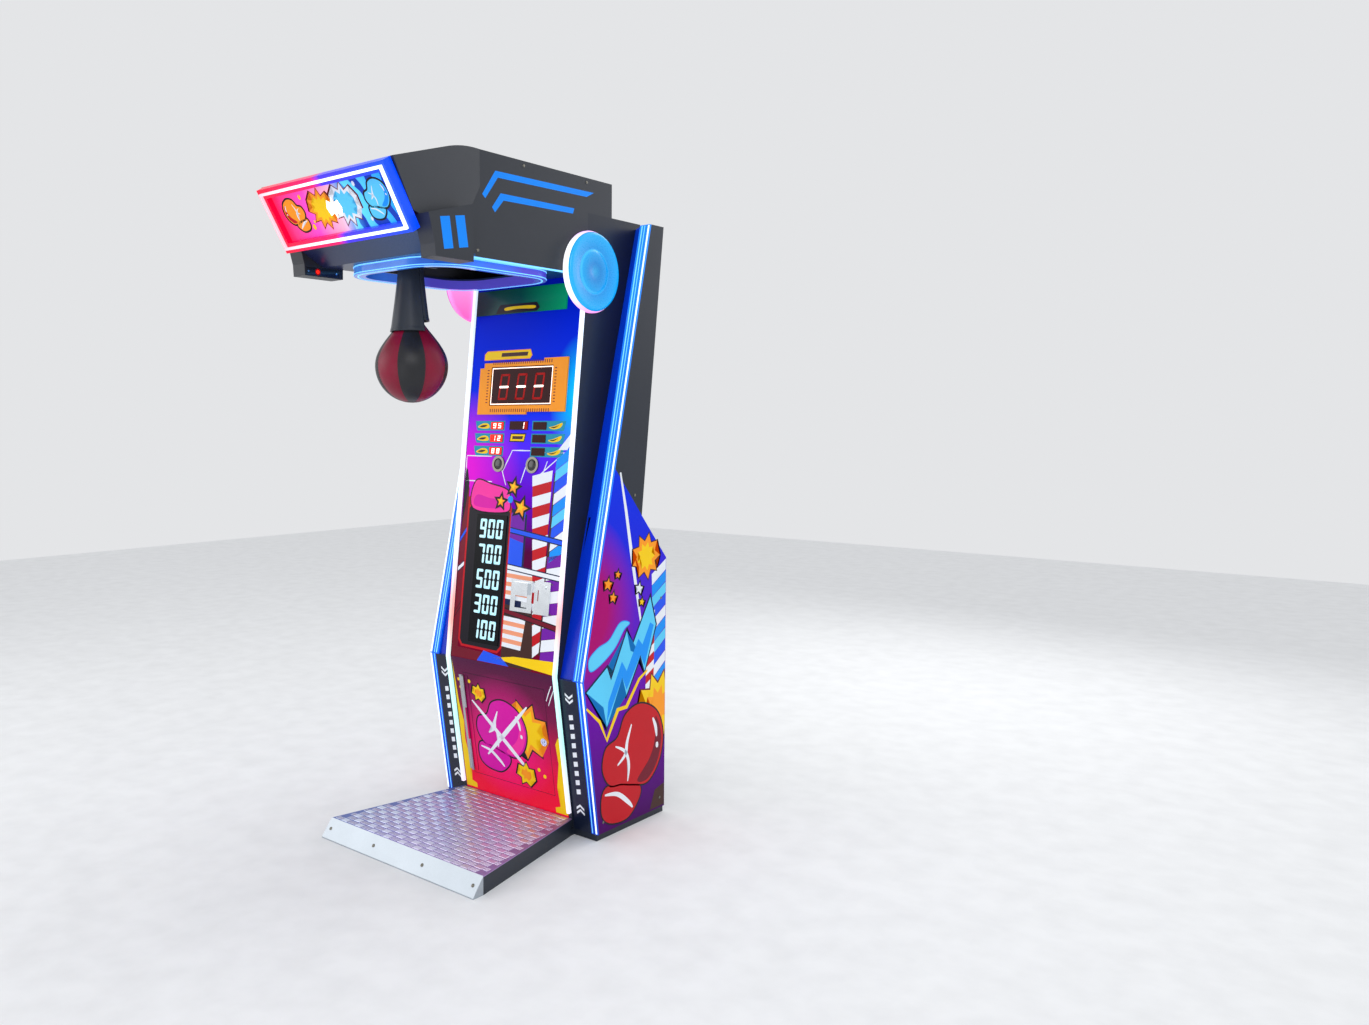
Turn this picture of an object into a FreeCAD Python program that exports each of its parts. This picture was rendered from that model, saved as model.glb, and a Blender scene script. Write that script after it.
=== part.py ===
# Boxing punch machine: a leaning arcade cabinet with side fins, an overhanging hood that carries
# a swinging punch ball, and a tread-plate platform in front.
# Millimetres. +Z is up, X = 0 is the centre plane, the player stands on the -Y side.
# Y = 0 is the front bottom corner of the side fins, and Z = 0 is the floor.
import FreeCAD, Part
import math
import os
import re

import Sketcher
from FreeCAD import Placement, Rotation, Vector

SIZES = {
    # cabinet
    "machine_half": 372.5,
    "cabinet_half": 268.0,
    "wall_thick": 15.0,
    "panel_thick": 8.0,
    "sheet_thick": 6.0,
    "base_top": 22.0,
    "base_inset": 4.0,
    "rear_y": 390.0,
    "knee_y": -91.0,
    "knee_z": 573.0,
    "upper_lean": 6.64,
    "lower_lean": 8.7,
    "column_depth": 270.0,
    "column_top": 2136.0,
    "step_z": 1107.0,
    "step_run": 149.0,
    "step_rise": 162.0,
    # side fins
    "fin_knee_y": -84.0,
    "fin_knee_z": 567.0,
    "fin_top_y": 278.0,
    "fin_top_z": 2115.0,
    "fin_trim": 8.0,
    "fin_wall": 12.0,
    "fin_inner_x": 330.0,
    "fin_band_x": 345.0,
    "fin_relief": 50.0,
    "apex_z": 1275.0,
    # platform
    "platform_front": -596.0,
    "platform_top": 60.0,
    "platform_gap": 0.3,
    "ramp_run": 44.0,
    "tread_thick": 4.0,
    # hood
    "hood_floor": 1931.0,
    "hood_top": 2250.0,
    "hood_rear": 197.0,
    "seam_y": -472.0,
    "hood_front": -620.0,
    "nose_crest": -524.0,
    "nose_round": 480.0,
    "nose_half": 312.0,
    "nose_wide_y": -830.0,
    "nose_narrow_y": -445.0,
    "opening_half": 205.0,
    "opening_front": -560.0,
    "opening_rear": -62.0,
    "ring_width": 38.0,
    "ring_drop": 30.0,
    # marquee
    "marquee_y": -740.0,
    "marquee_z": 1964.0,
    "marquee_lean": 31.0,
    "marquee_tall": 207.0,
    "marquee_half": 300.0,
    "marquee_deep": 31.0,
    "marquee_edge": 30.0,
    "tube_thick": 12.0,
    "neon_inset": 11.5,
    "neon_thick": 7.5,
    # sensor pods
    "pod_inner": 276.0,
    "pod_outer": 337.0,
    "pod_front": -690.0,
    "pod_rear": -540.0,
    "pod_bottom": 1900.0,
    "pod_top_front": 2018.0,
    "pod_top_rear": 2066.0,
    # hood frame and pivot
    "beam_size": 40.0,
    "pivot_y": -488.0,
    "pivot_z": 1935.0,
    "shaft_radius": 10.0,
    "bearing_radius": 20.0,
    "bracket_x": 90.0,
    "fit_gap": 0.05,
    "arm_length": 324.0,
    "arm_radius": 14.0,
    "ball_radius": 116.5,
    "tail_length": 60.0,
    "sleeve_radius": 42.0,
    "sleeve_thick": 3.0,
    "sleeve_front_lap": 9.5,
    "sleeve_front_flare": 26.0,
    "sleeve_rear_lift": 24.5,
    "sleeve_rear_flare": 18.0,
    "latch_y": -560.0,
    "latch_z": 2010.0,
    "latch_rise": 30.0,
    # side lamps
    "lamp_radius": 137.0,
    "lamp_y": 70.0,
    "lamp_z": 1938.0,
    "lamp_ring": 16.0,
    "lamp_deep": 34.0,
    # doors and controls
    "door_half": 200.0,
    "door_low": 106.0,
    "door_high": 502.0,
    "door_gap": 1.5,
    "hinge_radius": 4.5,
    "hinge_pin": 2.5,
    "button_radius": 20.0,
    "button_spread": 82.0,
    "button_rise": 715.0,
    "service_half": 200.0,
    "service_low": 110.0,
    "service_high": 800.0,
}

doc = FreeCAD.newDocument("punch_machine")
sheet = doc.addObject("Spreadsheet::Sheet", "sizes")
for row, (alias, size) in enumerate(SIZES.items(), start=1):
    sheet.set("A%d" % row, alias)
    sheet.set("B%d" % row, str(size))
    sheet.setAlias("B%d" % row, alias)
doc.recompute()

ALIAS = re.compile(r"\b([a-z]+_[a-z_]+)\b")
sub_parts = []


def size(alias):
    """The number held by one cell of the sheet."""
    return float(sheet.get(alias))


def bind(text):
    """An expression in millimetres from words of the sheet."""
    return "(" + ALIAS.sub(r"sizes.\1", str(text)) + ") * 1 mm"


def keep(shape_object, label):
    """Name a finished sub-part and put it on the list that is written out."""
    shape_object.Label = label
    sub_parts.append(shape_object)
    return shape_object


def plane_of(body, role):
    return [feature for feature in body.Origin.OriginFeatures if feature.Role == role][0]


def prism(name, points, start, end, role="YZ_Plane"):
    """A body padded from a closed outline, from start to end along the plane's normal."""
    body = doc.addObject("PartDesign::Body", name)
    sketch = body.newObject("Sketcher::SketchObject", name + "_outline")
    sketch.AttachmentSupport = [(plane_of(body, role), "")]
    sketch.MapMode = "FlatFace"
    sketch.setExpression(".AttachmentOffset.Base.z", bind(start))
    count = len(points)
    turn = [2 * math.pi * i / count for i in range(count)]
    rough = [Vector(100 * math.cos(angle), 100 * math.sin(angle), 0) for angle in turn]
    for i in range(count):
        sketch.addGeometry(Part.LineSegment(rough[i], rough[(i + 1) % count]), False)
    for i in range(count):
        sketch.addConstraint(Sketcher.Constraint("Coincident", i, 2, (i + 1) % count, 1))
    for i, (across, up) in enumerate(points):
        for kind, text, value in (("DistanceX", across, rough[i].x), ("DistanceY", up, rough[i].y)):
            place = sketch.addConstraint(Sketcher.Constraint(kind, -1, 1, i, 1, value))
            sketch.setExpression("Constraints[%d]" % place, bind(text))
    pad = body.newObject("PartDesign::Pad", name + "_pad")
    pad.Profile = sketch
    pad.setExpression("Length", bind("(%s) - (%s)" % (end, start)))
    return body


def plan(name, points, low, high):
    """A body padded upwards from an outline seen from above."""
    return prism(name, points, low, high, "XY_Plane")


def box(name, x_range, y_range, z_range):
    """A block between three pairs of expressions."""
    block = doc.addObject("Part::Box", name)
    for side, axis, (low, high) in zip(("Length", "Width", "Height"), "xyz", (x_range, y_range, z_range)):
        block.setExpression(side, bind("(%s) - (%s)" % (high, low)))
        block.setExpression("Placement.Base." + axis, bind(low))
    return block


def rod(name, base, direction, radius, height):
    """A cylinder that starts at a point and runs along a direction."""
    cylinder = doc.addObject("Part::Cylinder", name)
    cylinder.setExpression("Radius", bind(radius))
    cylinder.setExpression("Height", bind(height))
    cylinder.Placement = Placement(Vector(*base), Rotation(Vector(0, 0, 1), Vector(*direction)))
    return cylinder


def group(name, pieces):
    """Separate solids that share one node."""
    together = doc.addObject("Part::Compound", name)
    together.Links = pieces
    return together


def fuse(name, pieces):
    joined = doc.addObject("Part::MultiFuse", name)
    joined.Shapes = pieces
    return joined


def cut(name, base, tools):
    """The base with every tool taken away."""
    result = doc.addObject("Part::Cut", name)
    result.Base = base
    result.Tool = tools[0] if len(tools) == 1 else fuse(name + "_tools", tools)
    return result


def common(name, first, second):
    result = doc.addObject("Part::Common", name)
    result.Base = first
    result.Tool = second
    return result


def span(side, inner, outer):
    """The X range of a piece on the right (side 1) or mirrored on the left (side -1)."""
    if side > 0:
        return (inner, outer)
    return ("-(%s)" % outer, "-(%s)" % inner)


class Face:
    """A flat face seen edge-on: distances up it and out from it, as expressions or numbers."""

    def __init__(self, y, z, y_number, z_number, lean, backward):
        self.y, self.z = y, z
        self.y_number, self.z_number = y_number, z_number
        self.lean, self.backward = lean, backward

    def at(self, up, out):
        sine = "sin(%s * 1 deg)" % self.lean
        cosine = "cos(%s * 1 deg)" % self.lean
        if self.backward:
            return ("%s + (%s) * %s - (%s) * %s" % (self.y, up, sine, out, cosine),
                    "%s + (%s) * %s + (%s) * %s" % (self.z, up, cosine, out, sine))
        return ("%s - (%s) * %s - (%s) * %s" % (self.y, up, sine, out, cosine),
                "%s + (%s) * %s - (%s) * %s" % (self.z, up, cosine, out, sine))

    def up_vector(self):
        angle = math.radians(size(self.lean))
        return Vector(0, math.sin(angle) if self.backward else -math.sin(angle), math.cos(angle))

    def out_vector(self):
        angle = math.radians(size(self.lean))
        return Vector(0, -math.cos(angle), math.sin(angle) if self.backward else -math.sin(angle))

    def spot(self, x, up, out):
        start = Vector(x, self.y_number, self.z_number)
        return start + self.up_vector() * up + self.out_vector() * out


def slab(name, face, x_range, up_range, out_range):
    """A block that lies on or in a leaning face."""
    (low, high), (back, front) = up_range, out_range
    outline = [face.at(low, back), face.at(high, back), face.at(high, front), face.at(low, front)]
    return prism(name, outline, *x_range)


def tangent(alias):
    return math.tan(math.radians(size(alias)))


FOOT_Y = "(knee_y + (knee_z - base_top) * tan(lower_lean * 1 deg))"
foot_y_number = size("knee_y") + (size("knee_z") - size("base_top")) * tangent("lower_lean")
UPPER = Face("knee_y", "knee_z", size("knee_y"), size("knee_z"), "upper_lean", True)
LOWER = Face(FOOT_Y, "base_top", foot_y_number, size("base_top"), "lower_lean", False)
MARQUEE = Face("marquee_y", "marquee_z", size("marquee_y"), size("marquee_z"), "marquee_lean", False)


def front_y(z):
    """The Y of the cabinet's upper front face at a height."""
    return "(knee_y + ((%s) - knee_z) * tan(upper_lean * 1 deg))" % z


def fin_y(z):
    """The Y of a fin's front edge above its knee."""
    return "(fin_knee_y + ((%s) - fin_knee_z) * (fin_top_y - fin_knee_y) / (fin_top_z - fin_knee_z))" % z


JOINT_Y = front_y("hood_floor")
STEP_Y = "(%s + column_depth)" % front_y("step_z")
CORNER_Z = "(step_z - step_rise * (rear_y - %s) / step_run)" % STEP_Y
PLATFORM_BACK = "(%s - (platform_top - base_top) * tan(lower_lean * 1 deg) - platform_gap)" % FOOT_Y
SIDES = ((1, "right"), (-1, "left"))
ROUND_SHARE = 0.98


# ---------------------------------------------------------------- cabinet
def make_base():
    board = box("base_board_block", ("base_inset - machine_half", "machine_half - base_inset"),
                (0, "rear_y - base_inset"), (0, "base_top"))
    tongue = box("base_tongue", ("-cabinet_half", "cabinet_half"), (PLATFORM_BACK, 0), (0, "base_top"))
    keep(fuse("base_whole", [board, tongue]), "base_board")


def make_column_sides():
    outline = [(FOOT_Y, "base_top"), ("knee_y", "knee_z"), (JOINT_Y, "hood_floor"),
               (JOINT_Y, "column_top"), ("%s + column_depth" % front_y("column_top"), "column_top"),
               (STEP_Y, "step_z"), ("rear_y", CORNER_Z), ("rear_y", "base_top")]
    walls = [prism("side_wall_" + word, outline, *span(side, "cabinet_half - wall_thick", "cabinet_half"))
             for side, word in SIDES]
    keep(group("side_walls", walls), "column_sides")


INNER = ("wall_thick - cabinet_half", "cabinet_half - wall_thick")


def make_front_panels():
    deep = "panel_thick / cos(upper_lean * 1 deg)"
    outline = [("knee_y", "knee_z"), (JOINT_Y, "hood_floor"),
               ("%s + %s" % (JOINT_Y, deep), "hood_floor"), ("knee_y + " + deep, "knee_z")]
    blank = prism("score_panel_blank", outline, *INNER)
    through = ("-2 * panel_thick", "panel_thick")
    holes = [slab("display_hole", UPPER, (-141, 141), (934, 1056), through),
             slab("cup_hole", UPPER, (50, 110), (212, 258), through),
             slab("coin_slot_hole", UPPER, (156, 160), (246, 284), through),
             rod("reject_hole", UPPER.spot(186, 296, -16), UPPER.out_vector(), 7.5, 24)]
    for side, word in SIDES:
        start = UPPER.spot(side * size("button_spread"), size("button_rise"), -16)
        holes.append(rod("button_hole_" + word, start, UPPER.out_vector(), "button_radius + 4", 24))
    keep(cut("score_panel_cut", blank, holes), "score_panel")

    deep = "panel_thick / cos(lower_lean * 1 deg)"
    outline = [(FOOT_Y, "base_top"), ("knee_y", "knee_z"), ("knee_y + " + deep, "knee_z"),
               ("%s + %s" % (FOOT_Y, deep), "base_top")]
    blank = prism("lower_panel_blank", outline, *INNER)
    hole = slab("door_hole", LOWER, ("-door_half", "door_half"), ("door_low", "door_high"), through)
    keep(cut("lower_panel_cut", blank, [hole]), "lower_panel")


def make_rear_panels():
    top_y = "(%s + column_depth)" % front_y("column_top")
    upper = [(STEP_Y, "step_z"), (top_y, "column_top - sheet_thick"),
             (top_y + " - panel_thick", "column_top - sheet_thick"), (STEP_Y + " - panel_thick", "step_z")]
    slope = [(STEP_Y, "step_z"), ("rear_y", CORNER_Z), ("rear_y - panel_thick", CORNER_Z),
             (STEP_Y + " - panel_thick", "step_z")]
    blank = box("rear_lower_blank", INNER, ("rear_y - panel_thick", "rear_y"), ("base_top", CORNER_Z))
    hole = box("service_hole", ("-service_half", "service_half"),
               ("rear_y - 2 * panel_thick", "rear_y + panel_thick"), ("service_low", "service_high"))
    inlet_hole = box("inlet_hole", (-24, 24), ("rear_y - 2 * panel_thick", "rear_y + panel_thick"),
                     (50, 80))
    keep(cut("rear_lower_cut", blank, [hole, inlet_hole]), "rear_lower_panel")
    top = box("column_cap", INNER, (JOINT_Y, top_y + " - panel_thick - 2"),
              ("column_top - sheet_thick", "column_top"))
    bent = fuse("rear_upper_bent", [prism("rear_upper", upper, *INNER), prism("rear_slope", slope, *INNER)])
    keep(bent, "rear_upper_panel")
    keep(top, "column_top_panel")


FIN_OUTLINE = [("fin_trim", "base_top"), ("fin_knee_y + fin_trim", "fin_knee_z"),
               ("fin_top_y + fin_trim", "fin_top_z"),
               ("%s + column_depth" % front_y("fin_top_z"), "fin_top_z"),
               (STEP_Y, "step_z"), ("rear_y", CORNER_Z), ("rear_y", "base_top")]


def make_fins():
    inside = [("fin_trim + fin_wall", "base_top + fin_wall"),
              ("fin_knee_y + fin_trim + fin_wall", "fin_knee_z"),
              ("%s + fin_trim + fin_wall" % fin_y("step_z"), "step_z"),
              (STEP_Y + " - fin_wall - 6", "step_z - fin_wall"),
              ("rear_y - fin_wall", "%s - fin_wall" % CORNER_Z),
              ("rear_y - fin_wall", "base_top + fin_wall")]
    art = [("fin_trim", "base_top"), ("fin_knee_y + fin_trim", "fin_knee_z"),
           (fin_y("apex_z") + " + fin_trim", "apex_z"), (STEP_Y, "step_z"),
           ("rear_y", CORNER_Z), ("rear_y", "base_top")]
    plain = [(fin_y("apex_z") + " + fin_trim", "apex_z"), ("fin_top_y + fin_trim", "fin_top_z"),
             ("%s + column_depth" % front_y("fin_top_z"), "fin_top_z"), (STEP_Y, "step_z")]
    upper_edge = [("fin_knee_y", "fin_knee_z"), ("fin_top_y", "fin_top_z"),
                  ("fin_top_y + fin_trim", "fin_top_z"), ("fin_knee_y + fin_trim", "fin_knee_z")]
    lower_edge = [("0", "base_top"), ("fin_knee_y", "fin_knee_z"),
                  ("fin_knee_y + fin_trim", "fin_knee_z"), ("fin_trim", "base_top")]
    frames, arts, uppers, trims = [], [], [], []
    for side, word in SIDES:
        x_range = span(side, "cabinet_half", "machine_half - sheet_thick")
        blank = prism("fin_blank_" + word, FIN_OUTLINE, *x_range)
        pocket = prism("fin_pocket_" + word, inside, *span(side, "cabinet_half + 8", "machine_half"))
        relief = make_fin_relief(side, word)
        band = prism("band_" + word, lower_edge, *span(side, "cabinet_half", "fin_band_x"))
        hollow = cut("fin_cut_" + word, blank, [pocket, relief])
        frames.append(fuse("fin_whole_" + word, [hollow, band]))
        x_range = span(side, "machine_half - sheet_thick", "machine_half")
        arts.append(prism("art_" + word, art, *x_range))
        uppers.append(prism("plain_" + word, plain, *x_range))
        pieces = [prism("trim_upper_" + word, upper_edge, *span(side, "fin_inner_x", "machine_half")),
                  prism("trim_lower_" + word, lower_edge, *span(side, "fin_band_x", "machine_half"))]
        trims.append(fuse("trim_" + word, pieces))
    keep(group("frames", frames), "fin_frames")
    keep(group("arts", arts), "side_art_panels")
    keep(group("uppers", uppers), "side_upper_panels")
    keep(group("trims", trims), "fin_light_trims")


def make_fin_relief(side, word):
    """The wedge that slants a fin's front face back towards the column: nothing at the knee."""
    body = doc.addObject("PartDesign::Body", "relief_" + word)
    loft = body.newObject("PartDesign::AdditiveLoft", "relief_loft_" + word)
    sketches = []
    for level, z, y, deep in (("low", "fin_knee_z + 1", "fin_knee_y + fin_trim", "1"),
                              ("high", "fin_top_z + 1", "fin_top_y + fin_trim", "fin_relief")):
        sketch = body.newObject("Sketcher::SketchObject", "relief_%s_%s" % (level, word))
        sketch.AttachmentSupport = [(plane_of(body, "XY_Plane"), "")]
        sketch.MapMode = "FlatFace"
        sketch.setExpression(".AttachmentOffset.Base.z", bind(z))
        inner = "%d * (cabinet_half - 1)" % side
        outer = "%d * fin_inner_x" % side
        corners = [(inner, "%s - 1" % y), (outer, "%s - 1" % y), (outer, y), (inner, "%s + %s" % (y, deep))]
        rough = [(0, 0), (50, 0), (50, 50), (0, 50)]
        for i in range(4):
            ends = [Vector(*rough[j % 4], 0) for j in (i, i + 1)]
            sketch.addGeometry(Part.LineSegment(*ends), False)
        for i in range(4):
            sketch.addConstraint(Sketcher.Constraint("Coincident", i, 2, (i + 1) % 4, 1))
        for i, (across, up) in enumerate(corners):
            for kind, text, value in (("DistanceX", across, rough[i][0]), ("DistanceY", up, rough[i][1])):
                place = sketch.addConstraint(Sketcher.Constraint(kind, -1, 1, i, 1, value))
                sketch.setExpression("Constraints[%d]" % place, bind(text))
        sketches.append(sketch)
    loft.Profile = sketches[0]
    loft.Sections = [sketches[1]]
    loft.Ruled = True
    return body


def make_front_tubes():
    inner = "cabinet_half - tube_thick"
    outer = "cabinet_half"
    low = [LOWER.at("platform_top", 0), ("knee_y", "knee_z"),
           ("knee_y - tube_thick", "knee_z"), LOWER.at("platform_top", "tube_thick")]
    high = [("knee_y", "knee_z"), (front_y("hood_floor - 4"), "hood_floor - 4"),
            (front_y("hood_floor - 4") + " - tube_thick", "hood_floor - 4"), ("knee_y - tube_thick", "knee_z")]
    tubes = []
    for side, word in SIDES:
        x_range = span(side, inner, outer)
        pieces = [prism("tube_low_" + word, low, *x_range), prism("tube_high_" + word, high, *x_range)]
        tubes.append(fuse("tube_" + word, pieces))
    keep(group("tubes", tubes), "edge_light_tubes")


# ---------------------------------------------------------------- score face
def make_displays():
    blank = slab("bezel_blank", UPPER, (-207, 215), (893, 1090), (0, 6))
    hole = slab("bezel_hole", UPPER, (-150, 150), (925, 1065), (-2, 10))
    steps = [slab("bezel_step_top", UPPER, (-230, 105), (1080, 1100), (-2, 10)),
             slab("bezel_step_low", UPPER, (35, 230), (880, 902), (-2, 10)),
             slab("bezel_corner", UPPER, (-230, -186), (1062, 1100), (-2, 10))]
    keep(cut("bezel_cut", blank, [hole] + steps), "display_bezel")
    keep(slab("digits", UPPER, (-140, 140), (935, 1055), (-28, 0)), "digit_module")
    windows = [slab("main_window", UPPER, (-150, 150), (925, 1065), (0, 3))]
    for i, rise in enumerate((839, 794, 748)):
        windows.append(slab("left_window_%d" % i, UPPER, (-135, -72), (rise, rise + 27), (0, 2)))
        windows.append(slab("right_window_%d" % i, UPPER, (72, 134), (rise, rise + 27), (0, 2)))
    windows.append(slab("round_window", UPPER, (-42, 47), (838, 869), (0, 2)))
    keep(group("windows", windows), "display_windows")
    keep(slab("strip", UPPER, (-168, -18), (66, 531), (0, 3)), "score_strip")
    keep(slab("sign", UPPER, (-248, 187), (1256, 1345), (0, 6)), "top_sign")


def make_buttons():
    out = UPPER.out_vector()
    bezels = []
    for side, word in SIDES:
        x = side * size("button_spread")
        rise = size("button_rise")
        collar = [rod("collar_" + word, UPPER.spot(x, rise, 0), out, "button_radius + 9", 5),
                  rod("tail_" + word, UPPER.spot(x, rise, -46), out, "button_radius + 4", 46)]
        bore = rod("bore_" + word, UPPER.spot(x, rise, -24), out, "button_radius + fit_gap", 40)
        bezels.append(cut("ring_cut_" + word, fuse("ring_" + word, collar), [bore]))
        keep(rod("cap_" + word, UPPER.spot(x, rise, -14), out, "button_radius", 18), "push_button_" + word)
    keep(group("bezels", bezels), "button_bezels")


def make_coin_parts():
    out = UPPER.out_vector()
    blank = slab("coin_blank", UPPER, (140, 212), (200, 315), (0, 5))
    slot = slab("coin_slot", UPPER, (156, 160), (246, 284), (-2, 8))
    hole = rod("coin_reject_bore", UPPER.spot(186, 296, -2), out, "7 + fit_gap", 10)
    keep(cut("coin_cut", blank, [slot, hole]), "coin_plate")
    keep(rod("reject", UPPER.spot(186, 296, -6), out, 7, 15), "coin_reject_button")
    body = slab("coin_body", UPPER, (148, 206), (190, 312), (-88, -8))
    gap = slab("coin_way", UPPER, (156, 160), (170, 284), (-60, 2))
    recess = rod("reject_room", UPPER.spot(186, 296, -20), out, 9, 14)
    mechanism = cut("coin_body_cut", body, [gap, recess])
    outer = slab("chute_block", UPPER, (146, 176), (-110, 190), (-88, -60))
    inner = slab("chute_way", UPPER, (150, 172), (-130, 200), (-84, -64))
    keep(group("coin_works", [mechanism, cut("chute_cut", outer, [inner])]), "coin_mechanism")


def make_return_cup():
    plate = slab("cup_plate", UPPER, (30, 130), (200, 312), (0, 6))
    shield = slab("cup_shield", UPPER, (44, 116), (262, 304), (6, 16))
    mouth = slab("cup_mouth", UPPER, (52, 108), (214, 256), (-2, 8))
    neck = slab("cup_neck", UPPER, (50, 110), (212, 258), (-8, 0))
    tray = slab("cup_tray", UPPER, (48, 112), (210, 260), (-60, -8))
    room = slab("cup_room", UPPER, (52, 108), (214, 256), (-56, 2))
    bore = rod("flap_bore", UPPER.spot(49, 250, -2.5), (1, 0, 0), "2 + fit_gap", 62)
    keep(cut("cup_cut", fuse("cup_front", [plate, shield, neck, tray]), [mouth, room, bore]), "return_cup")
    pin_x = (50.6, 109.4)
    flap = slab("flap_plate", UPPER, (54, 106), (217, 249), (-4, -1))
    pin = rod("flap_pin", UPPER.spot(pin_x[0], 250, -2.5), (1, 0, 0), 2, pin_x[1] - pin_x[0])
    keep(fuse("flap", [flap, pin]), "return_flap")


# ---------------------------------------------------------------- doors
class RearFace:
    """The cabinet's upright back: up is height, out is backwards."""

    def at(self, up, out):
        return ("rear_y + (%s)" % out, "%s" % up)

    def up_vector(self):
        return Vector(0, 0, 1)

    def out_vector(self):
        return Vector(0, 1, 0)

    def spot(self, x, up, out):
        return Vector(x, size("rear_y") + out, up)


REAR = RearFace()


def make_hinge(name, face, edge, low, high):
    """A pin hinge along a door's left edge: the fixed leaf with the pin, and the moving leaf."""
    lift = 5
    along = face.up_vector()
    third = (high - low) / 3
    radius = "hinge_radius"
    middle = (low + third + 0.3, low + 2 * third - 0.3)
    ends = ((low, low + third), (low + 2 * third, high))
    fixed = [slab(name + "_fixed_leaf", face, (edge - 22, edge - 5.3), (low, high), (0, 1.6)),
             rod(name + "_pin", face.spot(edge, low, lift), along, "hinge_pin", high - low)]
    for i, (start, stop) in enumerate(ends):
        fixed.append(slab("%s_tab_%d" % (name, i), face, (edge - 6, edge - 1), (start, stop), (0, 1.6)))
        foot = face.spot(edge, start, lift)
        fixed.append(rod("%s_knuckle_%d" % (name, i), foot, along, radius, stop - start))
    length = middle[1] - middle[0]
    moving = [slab(name + "_moving_leaf", face, (edge + 5.3, edge + 22), (low, high), (0, 1.6)),
              slab(name + "_moving_tab", face, (edge + 1, edge + 6), middle, (0.8, 1.6)),
              rod(name + "_middle", face.spot(edge, middle[0], lift), along, radius, length)]
    bore = rod(name + "_bore", face.spot(edge, low, lift), along, "hinge_pin + fit_gap", high - low)
    return fuse(name + "_fixed", fixed), cut(name + "_moving", fuse(name + "_leaf", moving), [bore])


def make_lock(name, face, x, up):
    """A turning lock: head, barrel through the door and a cam that hangs down while unlocked."""
    out = face.out_vector()
    pieces = [rod(name + "_head", face.spot(x, up, 0.3), out, 14, 4),
              rod(name + "_barrel", face.spot(x, up, -20), out, "11 - fit_gap", 21),
              slab(name + "_cam", face, (x - 8, x + 8), (up - 42, up + 10), (-20, -17))]
    return fuse(name + "_lock", pieces)


def make_door(name, face, half, low, high):
    x = size(half) - 24
    rise = (size(low) + size(high)) / 2
    plate = slab(name + "_plate", face, ("door_gap - " + half, half + " - door_gap"),
                 (low + " + door_gap", high + " - door_gap"), ("-panel_thick", 0))
    bore = rod(name + "_lock_bore", face.spot(x, rise, -30), face.out_vector(), 11, 40)
    fixed, moving = make_hinge(name, face, -size(half), size(low) + 12, size(high) - 12)
    keep(fuse(name + "_whole", [cut(name + "_bored", plate, [bore]), moving]), name + "_door")
    keep(make_lock(name, face, x, rise), name + "_door_lock")
    return fixed


def make_doors():
    hinges = [make_door("cash", LOWER, "door_half", "door_low", "door_high"),
              make_door("service", REAR, "service_half", "service_low", "service_high")]
    keep(group("hinges", hinges), "door_hinges")


# ---------------------------------------------------------------- inside the cabinet
def make_inside():
    outer = box("cash_outer", (0, 200), (20, 200), ("base_top", "base_top + 150"))
    inner = box("cash_inner", (4, 196), (24, 196), ("base_top + 4", "base_top + 160"))
    keep(cut("cash_box_cut", outer, [inner]), "cash_box")
    supply = box("supply_block", (-230, -90), (120, 320), ("base_top", "base_top + 70"))
    keep(supply, "power_supply")
    board = box("board_block", ("wall_thick - cabinet_half", "wall_thick - cabinet_half + 34"),
                (60, 230), (620, 880))
    keep(board, "control_board")
    body = box("inlet_body", (-24, 24), ("rear_y - 40", "rear_y"), (50, 80))
    flange = box("inlet_flange", (-38, 38), ("rear_y", "rear_y + 3"), (42, 88))
    socket = box("inlet_socket", (-14, 14), ("rear_y - 18", "rear_y + 6"), (55, 75))
    keep(cut("inlet_cut", fuse("inlet", [body, flange]), [socket]), "power_inlet")


# ---------------------------------------------------------------- platform
def make_platform():
    back = PLATFORM_BACK
    outline = [("-machine_half", "platform_front + ramp_run"), ("-cabinet_half", back),
               ("cabinet_half", back), ("machine_half", "platform_front + ramp_run")]
    room = [("wall_thick - machine_half + 6", "platform_front + ramp_run + wall_thick"),
            ("wall_thick - cabinet_half", back + " - wall_thick"),
            ("cabinet_half - wall_thick", back + " - wall_thick"),
            ("machine_half - wall_thick - 6", "platform_front + ramp_run + wall_thick")]
    plate_low = "platform_top - tread_thick"
    block = plan("platform_block", outline, 0, plate_low)
    hollow = plan("platform_room", room, -1, "platform_top - 24")
    keep(cut("platform_cut", block, [hollow]), "platform_frame")
    keep(plan("tread", outline, plate_low, "platform_top"), "tread_plate")
    ramp = [("platform_front", "0"), ("platform_front", "4"),
            ("platform_front + ramp_run", "platform_top"), ("platform_front + ramp_run", "0")]
    keep(prism("ramp", ramp, "-machine_half", "machine_half"), "front_ramp")


# ---------------------------------------------------------------- hood
SEAM = [("nose_narrow_y", "hood_top"), ("nose_narrow_y + 23", "hood_top - 73"),
        ("nose_narrow_y - 50", "pod_top_rear - 10")]


def nose_outline(inset):
    """The hood nose seen from the side; inset shrinks it to the hollow inside."""
    back_top = MARQUEE.at("marquee_tall", "-marquee_deep")
    if not inset:
        low = MARQUEE.at(53, "-marquee_deep")
        return [SEAM[0], ("nose_crest", "hood_top"), back_top, low,
                ("pod_front - 25", "pod_top_front"), ("pod_rear", "pod_top_rear"), SEAM[2], SEAM[1]]
    low = MARQUEE.at(0, "-marquee_deep - %s" % inset)
    front = MARQUEE.at("marquee_tall - %s" % inset, "20 - marquee_deep")
    return [("nose_narrow_y + 60", "hood_top - %s" % inset), ("nose_crest", "hood_top - %s" % inset),
            front, MARQUEE.at(0, "20 - marquee_deep"), ("pod_front", "hood_floor - 20"),
            ("nose_narrow_y + 60", "hood_floor - 20")]


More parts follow.
